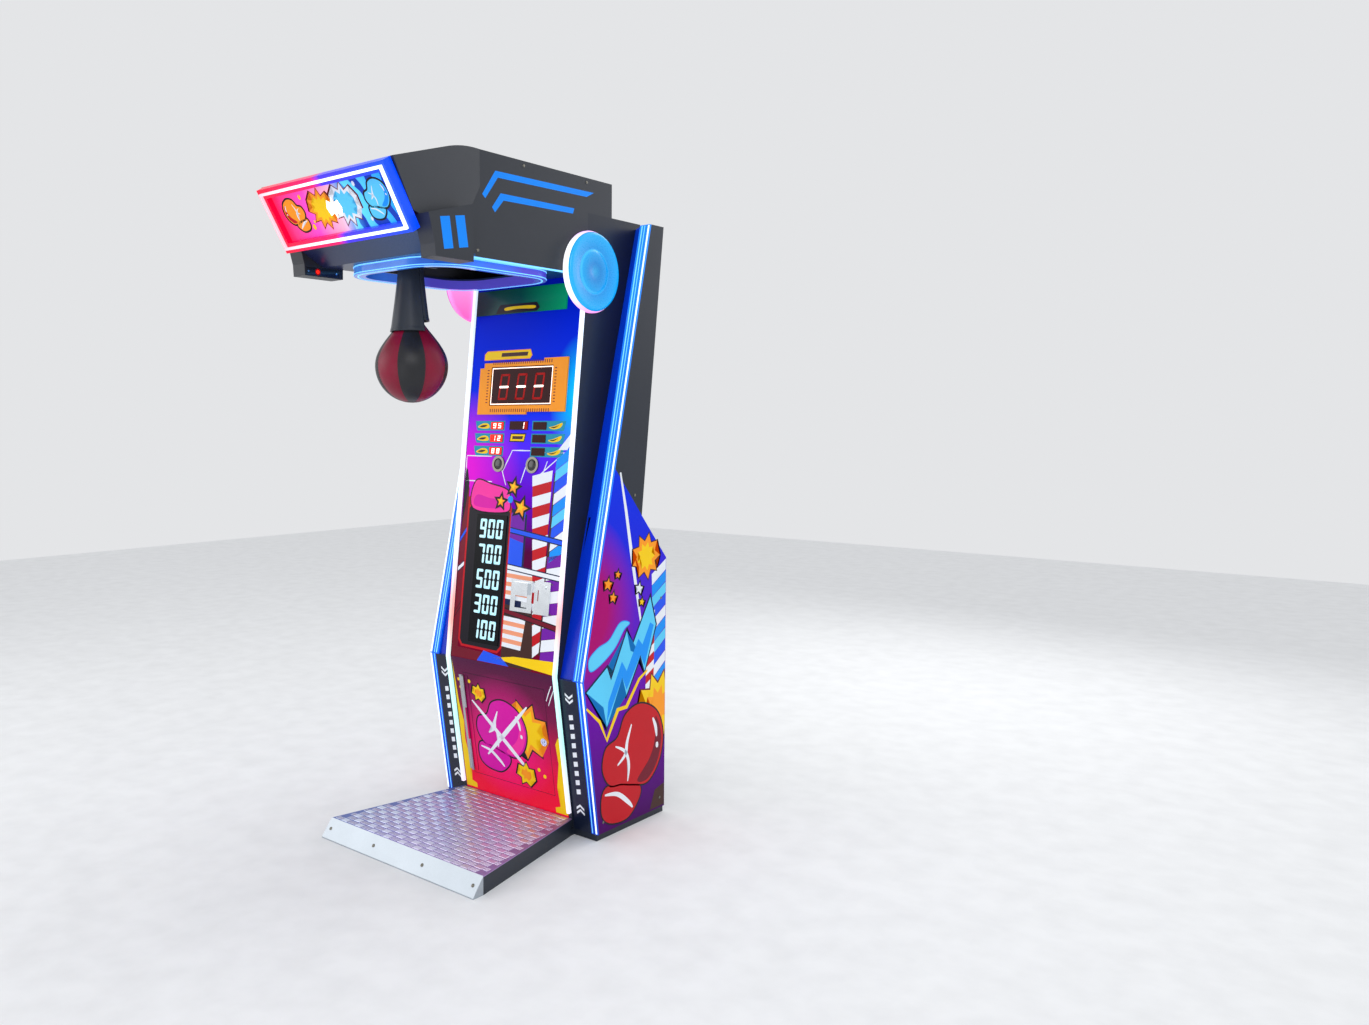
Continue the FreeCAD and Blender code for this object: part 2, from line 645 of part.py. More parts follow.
def nose_plan(inset):
    narrow = "cabinet_half - %s" % inset
    wide = "nose_half - %s" % inset
    rear, front = "nose_narrow_y + 90", "nose_wide_y - 60"
    return [("-(%s)" % narrow, rear), ("-(%s)" % narrow, "nose_narrow_y"), ("-(%s)" % wide, "nose_wide_y"),
            ("-(%s)" % wide, front), (wide, front), (wide, "nose_wide_y"), (narrow, "nose_narrow_y"),
            (narrow, rear)]


def round_room(shape, edge):
    """The largest radius that still fits on both flat faces which meet at an edge."""
    faces = [f for f in shape.Faces if any(edge.isSame(e) for e in f.Edges)]
    normals = [f.normalAt(0, 0) for f in faces]
    turn = normals[0].getAngle(normals[1])
    reach = min(f.Area / edge.Length for f in faces)
    return ROUND_SHARE * reach / math.tan(turn / 2)


def crest_fillet(body, z_text):
    """Round the long crest edge of a nose body, where its top turns down to the front."""
    doc.recompute()
    pad = body.Tip
    crest_y, crest_z = size("nose_crest"), z_text
    for i, edge in enumerate(pad.Shape.Edges, start=1):
        centre = edge.CenterOfMass
        if abs(centre.x) < 1 and abs(centre.y - crest_y) < 1 and abs(centre.z - crest_z) < 1:
            fillet = body.newObject("PartDesign::Fillet", body.Name + "_crest")
            fillet.Base = (pad, ["Edge%d" % i])
            room = round_room(pad.Shape, edge)
            fillet.setExpression("Radius", "min(%s; %.4f mm)" % (bind("nose_round"), room))
            body.Tip = fillet
    return body


def make_hood():
    floor_outline = [("-pod_inner", "hood_front"), ("-pod_inner", "seam_y"),
                     ("sheet_thick - cabinet_half", "seam_y"), ("sheet_thick - cabinet_half", JOINT_Y),
                     ("cabinet_half - sheet_thick", JOINT_Y), ("cabinet_half - sheet_thick", "seam_y"),
                     ("pod_inner", "seam_y"), ("pod_inner", "hood_front")]
    floor = plan("floor_sheet", floor_outline, "hood_floor", "hood_floor + sheet_thick")
    apron_low = MARQUEE.at(0, "-marquee_deep")
    apron = [apron_low, ("hood_front", "hood_floor"), ("hood_front", "hood_floor + sheet_thick"),
             (apron_low[0], apron_low[1] + " + sheet_thick")]
    sloped = prism("floor_apron", apron, "-pod_inner", "pod_inner")
    opening = rounded("floor_opening", "opening_half", "opening_front", "opening_rear",
                      "hood_floor - 10", "hood_floor + 20", 110)
    keep(cut("floor_cut", fuse("floor_whole", [floor, sloped]), [opening]), "hood_floor_panel")

    wall = [("hood_rear", "hood_top"), ("hood_rear", "column_top"), (JOINT_Y, "column_top"),
            (JOINT_Y, "hood_floor"), ("seam_y", "hood_floor"), ("seam_y", "pod_top_rear - 60")] + SEAM[::-1]
    sides = [prism("hood_wall_" + word, wall, *span(side, "cabinet_half - sheet_thick", "cabinet_half"))
             for side, word in SIDES]
    keep(group("hood_walls", sides), "hood_sides")

    inner_half = ("sheet_thick - cabinet_half", "cabinet_half - sheet_thick")
    top = box("hood_roof", inner_half, ("nose_narrow_y + 2", "hood_rear"),
              ("hood_top - sheet_thick", "hood_top"))
    back = box("hood_back", inner_half, ("hood_rear - sheet_thick", "hood_rear"),
               ("column_top", "hood_top - sheet_thick"))
    keep(fuse("hood_cover", [top, back]), "hood_top_panel")

    wide = ("-machine_half", "machine_half")
    solid = crest_fillet(prism("nose_solid", nose_outline(0), *wide), size("hood_top"))
    room = crest_fillet(prism("nose_room", nose_outline(5), *wide), size("hood_top") - 5)
    low, high = "hood_floor - 60", "hood_top + 10"
    shell = common("nose_outer", solid, plan("nose_plan_outer", nose_plan(0), low, high))
    hollow = common("nose_inner", room, plan("nose_plan_inner", nose_plan(5), low, high))
    keep(cut("nose_cut", shell, [hollow]), "hood_nose")


def rounded(name, half, front, rear, low, high, radius):
    """A block with rounded upright edges, for the opening and the ring around it."""
    block = box(name + "_block", ("-(%s)" % half, half), (front, rear), (low, high))
    doc.recompute()
    rounding = doc.addObject("Part::Fillet", name)
    rounding.Base = block
    edges = []
    for i, edge in enumerate(block.Shape.Edges, start=1):
        first, last = edge.Vertexes[0].Point, edge.Vertexes[-1].Point
        if abs(first.x - last.x) < 1e-6 and abs(first.y - last.y) < 1e-6:
            edges.append((i, radius, radius))
    rounding.Edges = edges
    return rounding


def make_ring():
    outer = rounded("ring_outer", "opening_half + ring_width", "opening_front - ring_width",
                    "opening_rear + ring_width", "hood_floor - ring_drop", "hood_floor",
                    110 + size("ring_width"))
    inner = rounded("ring_inner", "opening_half", "opening_front", "opening_rear",
                    "hood_floor - ring_drop - 5", "hood_floor + 5", 110)
    keep(cut("ring_cut", outer, [inner]), "ring_lamp")


def make_pods():
    outline = [("pod_front", "pod_bottom"), ("pod_front - 2", "pod_bottom + 36"),
               ("pod_front - 25", "pod_top_front"), ("pod_rear", "pod_top_rear"),
               ("pod_rear + 1", "pod_bottom + 65"), ("pod_rear", "pod_bottom")]
    pods = [prism("pod_" + word, outline, *span(side, "pod_inner", "pod_outer")) for side, word in SIDES]
    keep(group("pods", pods), "sensor_pods")


def make_marquee():
    x_range = ("-marquee_half", "marquee_half")
    block = slab("marquee_block", MARQUEE, x_range, (0, "marquee_tall"), ("-marquee_deep", 0))
    room = slab("marquee_room", MARQUEE, ("marquee_edge - marquee_half", "marquee_half - marquee_edge"),
                ("marquee_edge", "marquee_tall - marquee_edge"), ("6 - marquee_deep", 10))
    keep(cut("marquee_cut", block, [room]), "marquee_frame")
    keep(slab("marquee_sheet", MARQUEE, ("marquee_edge - marquee_half", "marquee_half - marquee_edge"),
              ("marquee_edge", "marquee_tall - marquee_edge"), ("6 - marquee_deep", "12 - marquee_deep")),
         "marquee_panel")
    outer = slab("neon_outer", MARQUEE, ("neon_inset - marquee_half", "marquee_half - neon_inset"),
                 ("neon_inset", "marquee_tall - neon_inset"), (0, "neon_thick"))
    inset = "neon_inset + neon_thick"
    inner = slab("neon_inner", MARQUEE, (inset + " - marquee_half", "marquee_half - (%s)" % inset),
                 (inset, "marquee_tall - (%s)" % inset), (-5, "neon_thick + 5"))
    keep(cut("neon_cut", outer, [inner]), "marquee_light_tube")


def make_side_lamps():
    rings, dishes = [], []
    for side, word in SIDES:
        base = (side * size("cabinet_half"), size("lamp_y"), size("lamp_z"))
        rings.append(rod("lamp_ring_" + word, base, (side, 0, 0), "lamp_radius", "lamp_ring + 6"))
        dish = doc.addObject("Part::Cone", "lamp_dish_" + word)
        dish.setExpression("Radius1", bind("lamp_radius - 5"))
        dish.setExpression("Radius2", bind("lamp_radius - 14"))
        dish.setExpression("Height", bind("lamp_deep - lamp_ring - 6"))
        face = side * (size("cabinet_half") + size("lamp_ring") + 6)
        dish.Placement = Placement(Vector(face, size("lamp_y"), size("lamp_z")),
                                   Rotation(Vector(0, 0, 1), Vector(side, 0, 0)))
        dishes.append(dish)
    keep(group("lamp_rings", rings), "side_lamp_rings")
    keep(group("lamp_dishes", dishes), "side_lamp_dishes")


# ---------------------------------------------------------------- hood frame and punch arm
def make_hood_frame():
    floor_top = "hood_floor + sheet_thick"
    beam_top = floor_top + " + beam_size"
    inner_x, outer_x = "opening_half + 8", "opening_half + 8 + beam_size"
    pieces, masts = [], []
    for side, word in SIDES:
        x_range = span(side, inner_x, outer_x)
        pieces.append(box("long_beam_" + word, x_range, ("opening_front - beam_size - 12", 240),
                          (floor_top, beam_top)))
        mast = [("knee_y + 30", "knee_z"), (front_y(floor_top) + " + 30", floor_top),
                (front_y(floor_top) + " + 75", floor_top), ("knee_y + 75", "knee_z"),
                ("65", "base_top"), ("20", "base_top")]
        masts.append(prism("mast_" + word, mast, *x_range))
        pieces.append(box("upright_" + word, x_range, ("pivot_y - 22", "pivot_y + 18"),
                          (beam_top, "pivot_z + 165")))
        bracket = box("bracket_block_" + word, span(side, "bracket_x", "bracket_x + 8"),
                      ("pivot_y - 25", "pivot_y + 25"), ("pivot_z - 25", "pivot_z + 125"))
        seat_base = (side * (size("bracket_x") - 5), size("pivot_y"), size("pivot_z"))
        seat = rod("bracket_seat_" + word, seat_base, (side, 0, 0), "bearing_radius", 20)
        pieces.append(cut("bracket_" + word, bracket, [seat]))
    across = ("-(%s)" % outer_x, outer_x)
    pieces.append(box("front_cross", across, ("opening_front - beam_size - 12", "opening_front - 12"),
                      (floor_top, beam_top)))
    pieces.append(box("rear_cross", across, ("opening_rear - 138", "opening_rear - 98"),
                      (beam_top, beam_top + " + beam_size")))
    pieces.append(box("crossbar", across, ("pivot_y - 22", "pivot_y + 18"),
                      ("pivot_z + 125", "pivot_z + 165")))
    pieces.append(box("column_cross", across, (170, 210), (floor_top, beam_top)))
    arm_plate = [("pivot_y + 18", "latch_z + 50"), ("latch_y - 20", "latch_z + 50"),
                 ("latch_y - 20", "latch_z - 15"), ("latch_y + 15", "latch_z - 15"),
                 ("latch_y + 15", "latch_z + 20"), ("pivot_y + 18", "latch_z + 20")]
    pieces.append(prism("latch_plate", arm_plate, 44, 50))
    pieces.append(rod("latch_pin", (28, size("latch_y"), size("latch_z")), (1, 0, 0), 5, 18))
    pieces.append(rod("latch_pin_head", (25, size("latch_y"), size("latch_z")), (1, 0, 0), 8, 3))
    mount = box("solenoid_plate", (10, 60), ("opening_front - 40", "opening_front - 34"),
                (beam_top, "latch_z + latch_rise + 22"))
    window = rod("solenoid_window", (35, size("opening_front") - 50, size("latch_z") + size("latch_rise")),
                 (0, 1, 0), 9, 30)
    pieces.append(cut("solenoid_mount", mount, [window]))
    keep(fuse("hood_frame_weld", pieces), "hood_frame")
    keep(group("masts", masts), "frame_masts")
    pad = box("bumper_block", (-40, 40), ("opening_rear - 148", "opening_rear - 88"),
              (beam_top + " - 20", beam_top))
    keep(pad, "ball_bumper")


def make_pivot():
    y, z = size("pivot_y"), size("pivot_z")
    bearings = []
    for side, word in SIDES:
        start = side * (size("bracket_x") - 3)
        ring = rod("bearing_block_" + word, (start, y, z), (side, 0, 0), "bearing_radius", 14)
        bore = rod("bearing_bore_" + word, (start - side, y, z), (side, 0, 0), "shaft_radius + fit_gap", 16)
        bearings.append(cut("bearing_" + word, ring, [bore]))
    keep(group("bearings", bearings), "pivot_bearings")
    keep(rod("shaft_rod", (-106, y, z), (1, 0, 0), "shaft_radius", 212), "pivot_shaft")

    top = z - size("arm_length") + size("ball_radius") + 18
    pieces = [rod("arm_hub", (-30, y, z), (1, 0, 0), 24, 60),
              rod("arm_tube", (0, y, top), (0, 0, 1), "arm_radius", z - top),
              rod("arm_flange", (0, y, top), (0, 0, 1), 40, 8),
              rod("sleeve_clamp", (0, y, z - 38), (0, 0, 1), "sleeve_radius - sleeve_thick", 14),
              box("arm_tail", (30, 40), ("pivot_y - 8", "pivot_y + 8"),
                  ("pivot_z", "pivot_z + tail_length")),
              rod("arm_tail_boss", (30, y, z), (1, 0, 0), 18, 10)]
    bore = rod("arm_bore", (-40, y, z), (1, 0, 0), "shaft_radius", 90)
    keep(cut("arm_cut", fuse("arm_weld", pieces), [bore]), "punch_arm")
    make_ball(y, z, top)
    make_sleeves(y, z)


def make_ball(y, z, top):
    centre = z - size("arm_length")
    globe = doc.addObject("Part::Sphere", "ball_globe")
    globe.setExpression("Radius", bind("ball_radius"))
    globe.Placement = Placement(Vector(0, y, centre), Rotation())
    neck = doc.addObject("Part::Cone", "ball_neck")
    neck_base = size("ball_radius") * 0.86
    neck.Radius1 = 52
    neck.Radius2 = 40
    neck.Height = top - centre - neck_base
    neck.Placement = Placement(Vector(0, y, centre + neck_base), Rotation())
    keep(fuse("ball_whole", [globe, neck]), "punch_ball")


def make_sleeves(y, z):
    """Two leather half sleeves around the arm: the front one longer and wider."""
    top = size("sleeve_radius")
    ball_top = size("arm_length") - size("ball_radius")
    for word, sign, low, grow in (
            ("front", -1, ball_top + size("sleeve_front_lap"), size("sleeve_front_flare")),
            ("rear", 1, ball_top - size("sleeve_rear_lift"), size("sleeve_rear_flare"))):
        shells = []
        for part, shrink in (("outer", 0), ("inner", size("sleeve_thick"))):
            cone = doc.addObject("Part::Cone", "sleeve_%s_%s" % (word, part))
            cone.Radius1 = top + grow - shrink
            cone.Radius2 = top - shrink
            cone.Height = low - 20
            cone.Placement = Placement(Vector(0, y, z - low), Rotation())
            shells.append(cone)
        half = ("pivot_y - 90", "pivot_y") if sign < 0 else ("pivot_y", "pivot_y + 90")
        keeper = box("sleeve_half_" + word, (-90, 90), half, ("pivot_z - 260", "pivot_z"))
        shell = cut("sleeve_shell_" + word, shells[0], [shells[1]])
        keep(common("sleeve_cut_" + word, shell, keeper), "sleeve_" + word)


def make_latch():
    y, z = size("latch_y"), size("latch_z")
    hook = [("latch_y - 6", "latch_z + latch_rise + 7"), ("latch_y + 6", "latch_z + latch_rise + 7"),
            ("latch_y + 6", "latch_z"), ("latch_y + 2", "latch_z - 50"), ("latch_y - 8", "latch_z - 52"),
            ("latch_y - 8", "latch_z")]
    pieces = [prism("hook_plate", hook, 30, 40), rod("hook_boss", (30, y, z), (1, 0, 0), 12, 10)]
    bore = rod("hook_bore", (20, y, z), (1, 0, 0), "5 + fit_gap", 30)
    keep(cut("hook_cut", fuse("hook_weld", pieces), [bore]), "latch_hook")
    line = z + size("latch_rise")
    front = size("opening_front") - 115
    body = box("solenoid_block", (15, 55), ("opening_front - 115", "opening_front - 40"),
               ("latch_z + latch_rise - 18", "latch_z + latch_rise + 18"))
    bore = rod("solenoid_bore", (35, front + 5, line), (0, 1, 0), "6 + fit_gap", 80)
    keep(cut("solenoid_cut", body, [bore]), "latch_solenoid")
    keep(rod("plunger", (35, front + 25, line), (0, 1, 0), 6, y - 9 - front - 25), "solenoid_plunger")


# ---------------------------------------------------------------- finish
def write_parts():
    doc.recompute()
    os.makedirs("parts", exist_ok=True)
    faults = []
    for item in doc.Objects:
        if "Invalid" in item.State or "Error" in item.State:
            faults.append("%s is %s" % (item.Label, item.State))
    for item in sub_parts:
        shape = item.Shape
        if shape.isNull() or not shape.isValid() or shape.Volume <= 0:
            faults.append("%s has no valid solid" % item.Label)
    if faults:
        raise SystemExit("\n".join(faults))
    for item in sub_parts:
        item.Shape.exportStep("parts/%s.step" % item.Label)
    print(len(sub_parts), "sub-parts written")


make_base()
make_column_sides()
make_front_panels()
make_rear_panels()
make_fins()
make_front_tubes()
make_displays()
make_buttons()
make_coin_parts()
make_return_cup()
make_doors()
make_inside()
make_platform()
make_hood()
make_ring()
make_pods()
make_marquee()
make_side_lamps()
make_hood_frame()
make_pivot()
make_latch()
write_parts()
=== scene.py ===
"""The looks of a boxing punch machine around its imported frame: metres, +Z up, the player stands at -Y."""
import math
import bpy
import bmesh
from mathutils import Euler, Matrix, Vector


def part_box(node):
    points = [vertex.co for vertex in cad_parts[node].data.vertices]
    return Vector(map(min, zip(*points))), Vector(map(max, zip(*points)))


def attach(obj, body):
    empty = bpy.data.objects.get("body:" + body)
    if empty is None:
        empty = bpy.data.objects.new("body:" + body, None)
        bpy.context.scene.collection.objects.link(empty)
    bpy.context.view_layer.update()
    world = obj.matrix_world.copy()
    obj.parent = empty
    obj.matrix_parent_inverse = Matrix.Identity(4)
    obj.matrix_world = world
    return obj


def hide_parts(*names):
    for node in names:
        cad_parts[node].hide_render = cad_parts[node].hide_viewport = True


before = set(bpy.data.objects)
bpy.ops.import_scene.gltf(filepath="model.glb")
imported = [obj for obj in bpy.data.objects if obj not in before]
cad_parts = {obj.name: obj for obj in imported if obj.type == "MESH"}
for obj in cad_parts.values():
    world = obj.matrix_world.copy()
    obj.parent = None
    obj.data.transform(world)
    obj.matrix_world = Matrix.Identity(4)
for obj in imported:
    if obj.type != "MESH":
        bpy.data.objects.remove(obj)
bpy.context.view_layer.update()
MM = 0.001
SIDES = ((1, "right"), (-1, "left"))

# sizes that agree with the CAD model, in millimetres and degrees
HALF = 372.5  # half width over the side panels
CABINET = 268.0  # half width of the column and the hood
KNEE = (-91.0, 573.0)
UPPER_LEAN = 6.64
FOOT = (-6.69, 22.0)
LOWER_LEAN = 8.7
FIN_KNEE = (-84.0, 567.0)
FIN_FOOT = (0.0, 22.0)
FIN_TOP = (278.0, 2115.0)
MARQUEE_FOOT = (-740.0, 1964.0)
MARQUEE_LEAN = 31.0
LAMP = (70.0, 1938.0)
PIVOT = (-488.0, 1935.0)
BALL_Z = 1611.0
BALL_R = 116.5
BALL_TOP = 1745.0
BALL_NECK = 41
BALL_PANELS = 8
BALL_TURN = math.radians(26)
REAR = 390
POD_OUTER = 337
POD_INNER = 276
OPENING_HALF = 205
OPENING_FRONT = -560
OPENING_REAR = -62
OPENING_CORNER = 110
PLATFORM_FRONT = -596
RAMP_RISE = 56
RAMP_RUN = 44
BUTTON_SPREAD = 82
BUTTON_RISE = 715
FIN_BAND = 306  # middle of the dark band below the knee
ROWS = (839, 794, 748)  # the three rows of small windows, up the score face

BOARD = (0.016, 0.022, 0.036)  # colour of the dark laminate


# ---------------------------------------------------------------- camera, light and floor
def make_camera():
    """The camera that sees the machine as a visitor standing to its right would."""
    camera = bpy.data.objects.new("camera", bpy.data.cameras.new("camera"))
    bpy.context.collection.objects.link(camera)
    camera.location = (2.61514, -2.78, 1.43337)
    camera.rotation_euler = Euler((math.radians(90 - 4.82), 0, math.radians(40.96)))
    camera.data.sensor_width = 36
    camera.data.lens = 28.22
    camera.data.shift_x = 0.0909
    bpy.context.scene.camera = camera


def make_lights():
    """Four soft lamps aimed at the machine's middle, and a pale sky."""
    aim = Vector((0, 0, 1.1))
    for name, spot, energy, width in (("key", (3.2, -3.4, 3.6), 46, 2.6),
                                      ("fill", (-3.4, -3.0, 2.4), 30, 2.6),
                                      ("back", (0.5, 3.6, 3.2), 60, 3.0),
                                      ("low", (0.6, -3.6, 0.7), 8, 2.0)):
        lamp = bpy.data.lights.new(name, "AREA")
        lamp.energy = energy
        lamp.size = width
        holder = bpy.data.objects.new(name, lamp)
        holder.location = spot
        holder.rotation_euler = (aim - Vector(spot)).to_track_quat("-Z", "Y").to_euler()
        bpy.context.collection.objects.link(holder)
    world = bpy.data.worlds.new("studio")
    world.use_nodes = True
    sky = world.node_tree.nodes["Background"]
    sky.inputs["Color"].default_value = (0.97, 0.98, 1.0, 1)
    sky.inputs["Strength"].default_value = 0.80
    bpy.context.scene.world = world
    bpy.context.scene.view_settings.view_transform = "Standard"


def make_floor():
    """A wide grey floor, which is staging and no part of the machine."""
    mesh = bpy.data.meshes.new("floor")
    reach = 9.0
    corners = [(-reach, -reach, 0), (reach, -reach, 0), (reach, reach, 0), (-reach, reach, 0)]
    mesh.from_pydata(corners, [], [(0, 1, 2, 3)])
    floor = bpy.data.objects.new("floor", mesh)
    bpy.context.collection.objects.link(floor)
    floor.data.materials.append(surface("studio_floor", (0.86, 0.87, 0.88), rough=0.7, vary=0.02, grain=3))


# ---------------------------------------------------------------- materials
class Nodes:
    """A material being put together: its nodes, its links and its shader."""

    def __init__(self, name):
        self.mat = bpy.data.materials.new(name)
        self.mat.use_nodes = True
        self.tree = self.mat.node_tree
        self.shader = self.tree.nodes["Principled BSDF"]
        self.place = self.add("ShaderNodeTexCoord").outputs["Object"]

    def add(self, kind, **values):
        node = self.tree.nodes.new(kind)
        for key, value in values.items():
            setattr(node, key, value)
        return node

    def link(self, out, into):
        self.tree.links.new(out, into)

    def noise(self, scale, detail=3.0, stretch=None):
        """Grey noise in the piece's own frame; stretch squeezes it along the axes."""
        node = self.add("ShaderNodeTexNoise")
        node.inputs["Scale"].default_value = scale
        node.inputs["Detail"].default_value = detail
        source = self.place
        if stretch:
            mapping = self.add("ShaderNodeMapping")
            mapping.inputs["Scale"].default_value = stretch
            self.link(source, mapping.inputs["Vector"])
            source = mapping.outputs["Vector"]
        self.link(source, node.inputs["Vector"])
        return node.outputs["Fac"]

    def ramp(self, source, stops):
        """Colours at stops along a value from 0 to 1."""
        node = self.add("ShaderNodeValToRGB")
        marks = node.color_ramp.elements
        while len(marks) < len(stops):
            marks.new(1.0)
        for mark, (spot, color) in zip(marks, stops):
            mark.position = spot
            mark.color = (*color, 1)
        self.link(source, node.inputs["Fac"])
        return node.outputs["Color"]

    def spread(self, source, low, high, to_low=0.0, to_high=1.0):
        """Stretch a value from one range to another, held at the ends."""
        node = self.add("ShaderNodeMapRange")
        for key, value in zip(("From Min", "From Max", "To Min", "To Max"), (low, high, to_low, to_high)):
            node.inputs[key].default_value = value
        self.link(source, node.inputs["Value"])
        return node.outputs["Result"]

    def along(self, letter, low, high, to_low=0.0, to_high=1.0):
        """A value that changes along one axis, between two places in metres."""
        node = self.add("ShaderNodeSeparateXYZ")
        self.link(self.place, node.inputs["Vector"])
        return self.spread(node.outputs[letter], low, high, to_low, to_high)

    def multiply(self, first, second):
        node = self.add("ShaderNodeMath", operation="MULTIPLY")
        self.link(first, node.inputs[0])
        self.link(second, node.inputs[1])
        return node.outputs[0]

    def distance(self, centre, squeeze=(1, 1, 1)):
        """How far a point lies from a centre, in metres, along the axes that squeeze keeps."""
        less = self.add("ShaderNodeVectorMath", operation="SUBTRACT")
        self.link(self.place, less.inputs[0])
        less.inputs[1].default_value = centre
        scale = self.add("ShaderNodeVectorMath", operation="MULTIPLY")
        self.link(less.outputs[0], scale.inputs[0])
        scale.inputs[1].default_value = squeeze
        length = self.add("ShaderNodeVectorMath", operation="LENGTH")
        self.link(scale.outputs[0], length.inputs[0])
        return length.outputs["Value"]

    def forward(self, normal):
        """1 where a normal points forward, 0 where it points sideways or back."""
        facing = self.add("ShaderNodeSeparateXYZ")
        self.link(normal, facing.inputs["Vector"])
        return self.spread(facing.outputs["Y"], -0.25, -0.35)

    def front_only(self, color):
        """The colour on the faces that look forward in the piece's own frame, dark board on the others."""
        normal = self.add("ShaderNodeTexCoord").outputs["Normal"]
        return self.mix(self.forward(normal), BOARD, color)

    def mix(self, amount, first, second, blend="MIX"):
        """Blend two colours, each a tuple or a socket."""
        node = self.add("ShaderNodeMix", data_type="RGBA", blend_type=blend)
        if isinstance(amount, float):
            node.inputs["Factor"].default_value = amount
        else:
            self.link(amount, node.inputs["Factor"])
        for socket, value in ((node.inputs[6], first), (node.inputs[7], second)):
            if isinstance(value, tuple):
                socket.default_value = (*value, 1)
            else:
                self.link(value, socket)
        return node.outputs[2]

    def bump(self, height, strength, depth):
        """Raise the surface by a value, replacing any bump before it."""
        lump = self.add("ShaderNodeBump")
        lump.inputs["Strength"].default_value = strength
        lump.inputs["Distance"].default_value = depth
        self.link(height, lump.inputs["Height"])
        self.link(lump.outputs["Normal"], self.shader.inputs["Normal"])

    def finish(self, color, rough=0.3, vary=0.05, grain=500, bump=0.05, glow=0.0, metal=0.0, coat=0.0,
               stretch=None, shine=0.5):
        """Put fine grain in the colour, the gloss and the surface, and set the shader's plain values."""
        fine = self.noise(grain, 4.0, stretch)
        shade = self.ramp(fine, [(0.3, (1 - vary,) * 3), (0.7, (1.0,) * 3)])
        tinted = self.mix(1.0, color, shade, "MULTIPLY")
        gloss = self.spread(fine, 0.3, 0.7, rough * 0.85, min(rough * 1.15, 1))
        self.link(tinted, self.shader.inputs["Base Color"])
        self.link(gloss, self.shader.inputs["Roughness"])
        self.bump(fine, bump, 0.0004)
        for name, value in (("Metallic", metal), ("Specular IOR Level", shine), ("Coat Weight", coat)):
            self.shader.inputs[name].default_value = value
        if glow:
            self.link(tinted, self.shader.inputs["Emission Color"])
            self.shader.inputs["Emission Strength"].default_value = glow
        return self.mat


def surface(name, color, rough=0.45, vary=0.12, grain=300, bump=0.15, **look):
    """One colour with fine grain, wear in its gloss and a slight surface bump."""
    make = Nodes(name)
    wear = make.spread(make.noise(9, 5.0), 0.35, 0.75, 0.0, 0.35)
    worn = make.mix(wear, tuple(color), tuple(c * 0.8 for c in color))
    return make.finish(worn, rough=rough, vary=vary, grain=grain, bump=bump, **look)


def fade(name, letter, low, high, stops, rough=0.25, glow=0.0, soft=0.0, shine=0.3):
    """Colours that change along one axis between two places in metres; soft blurs them by a noise."""
    make = Nodes(name)
    place = make.along(letter, low, high)
    if soft:
        wave = make.add("ShaderNodeMath", operation="MULTIPLY_ADD")
        make.link(make.noise(6, 2.0), wave.inputs[0])
        wave.inputs[1].default_value = soft
        make.link(place, wave.inputs[2])
        place = wave.outputs[0]
    return make.finish(make.ramp(place, stops), rough=rough, glow=glow, shine=shine)


def fin_paint_painted_glow():
    """Blue paint on the faces that look forward, brighter towards the top, with a faint glow that is
    painted light from the blue LED trims beside it; dark laminate on the rest and below the knee.
    """
    make = Nodes("fin_paint_painted_glow")
    blue = make.ramp(make.along("Z", 0.567, 2.1),
                     [(0.0, (0.0, 0.02, 0.45)), (0.5, (0.0, 0.045, 0.80)), (1.0, (0.0, 0.07, 0.90))])
    forward = make.forward(make.add("ShaderNodeNewGeometry").outputs["True Normal"])
    painted = make.multiply(forward, make.along("Z", 0.565, 0.570))
    # glow=0.14 is painted light: the fin frame is no lamp, its faint glow stands in for the light of the
    # LED trims beside it
    return make.finish(make.mix(painted, (0.006, 0.010, 0.028), blue), glow=0.14, shine=0.3)


def score_print():
    """Saturated blue above, violet in the middle, magenta left, cyan right, wine red below."""
    make = Nodes("score_print")
    tall = make.ramp(make.along("Z", 0.573, 1.931),
                     [(0.0, (0.16, 0.0, 0.015)), (0.30, (0.08, 0.0, 0.04)), (0.44, (0.12, 0.0, 0.50)),
                      (0.56, (0.08, 0.02, 0.85)), (0.66, (0.0, 0.03, 0.80)), (1.0, (0.0, 0.01, 0.45))])
    pink = make.spread(make.distance((-0.27, 0, 1.25), (1, 0, 1)), 0.06, 0.30, 0.95, 0.0)
    side = make.mix(pink, tall, (0.72, 0.01, 0.60))
    cyan = make.spread(make.distance((0.27, 0, 1.52), (1, 0, 0.6)), 0.02, 0.13, 0.95, 0.0)
    printed = make.front_only(make.mix(cyan, side, (0.0, 0.55, 0.95)))
    return make.finish(printed, rough=0.4, vary=0.04, grain=600, bump=0.04, glow=0.22, shine=0.04)


def side_print():
    """Blue at the top, violet below, with a crimson cloud near the front edge."""
    make = Nodes("side_print")
    tall = make.ramp(make.along("Z", 0.02, 1.25),
                     [(0.0, (0.06, 0.0, 0.10)), (0.35, (0.14, 0.0, 0.36)), (0.62, (0.10, 0.01, 0.56)),
                      (0.80, (0.01, 0.02, 0.70)), (1.0, (0.0, 0.03, 0.75))])
    cloud = make.spread(make.distance((0, -0.05, 0.80), (0, 1, 0.8)), 0.10, 0.26, 0.95, 0.0)
    printed = make.mix(cloud, tall, (0.40, 0.0, 0.13))
    return make.finish(printed, rough=0.35, vary=0.04, grain=600, bump=0.04, glow=0.10, shine=0.08)


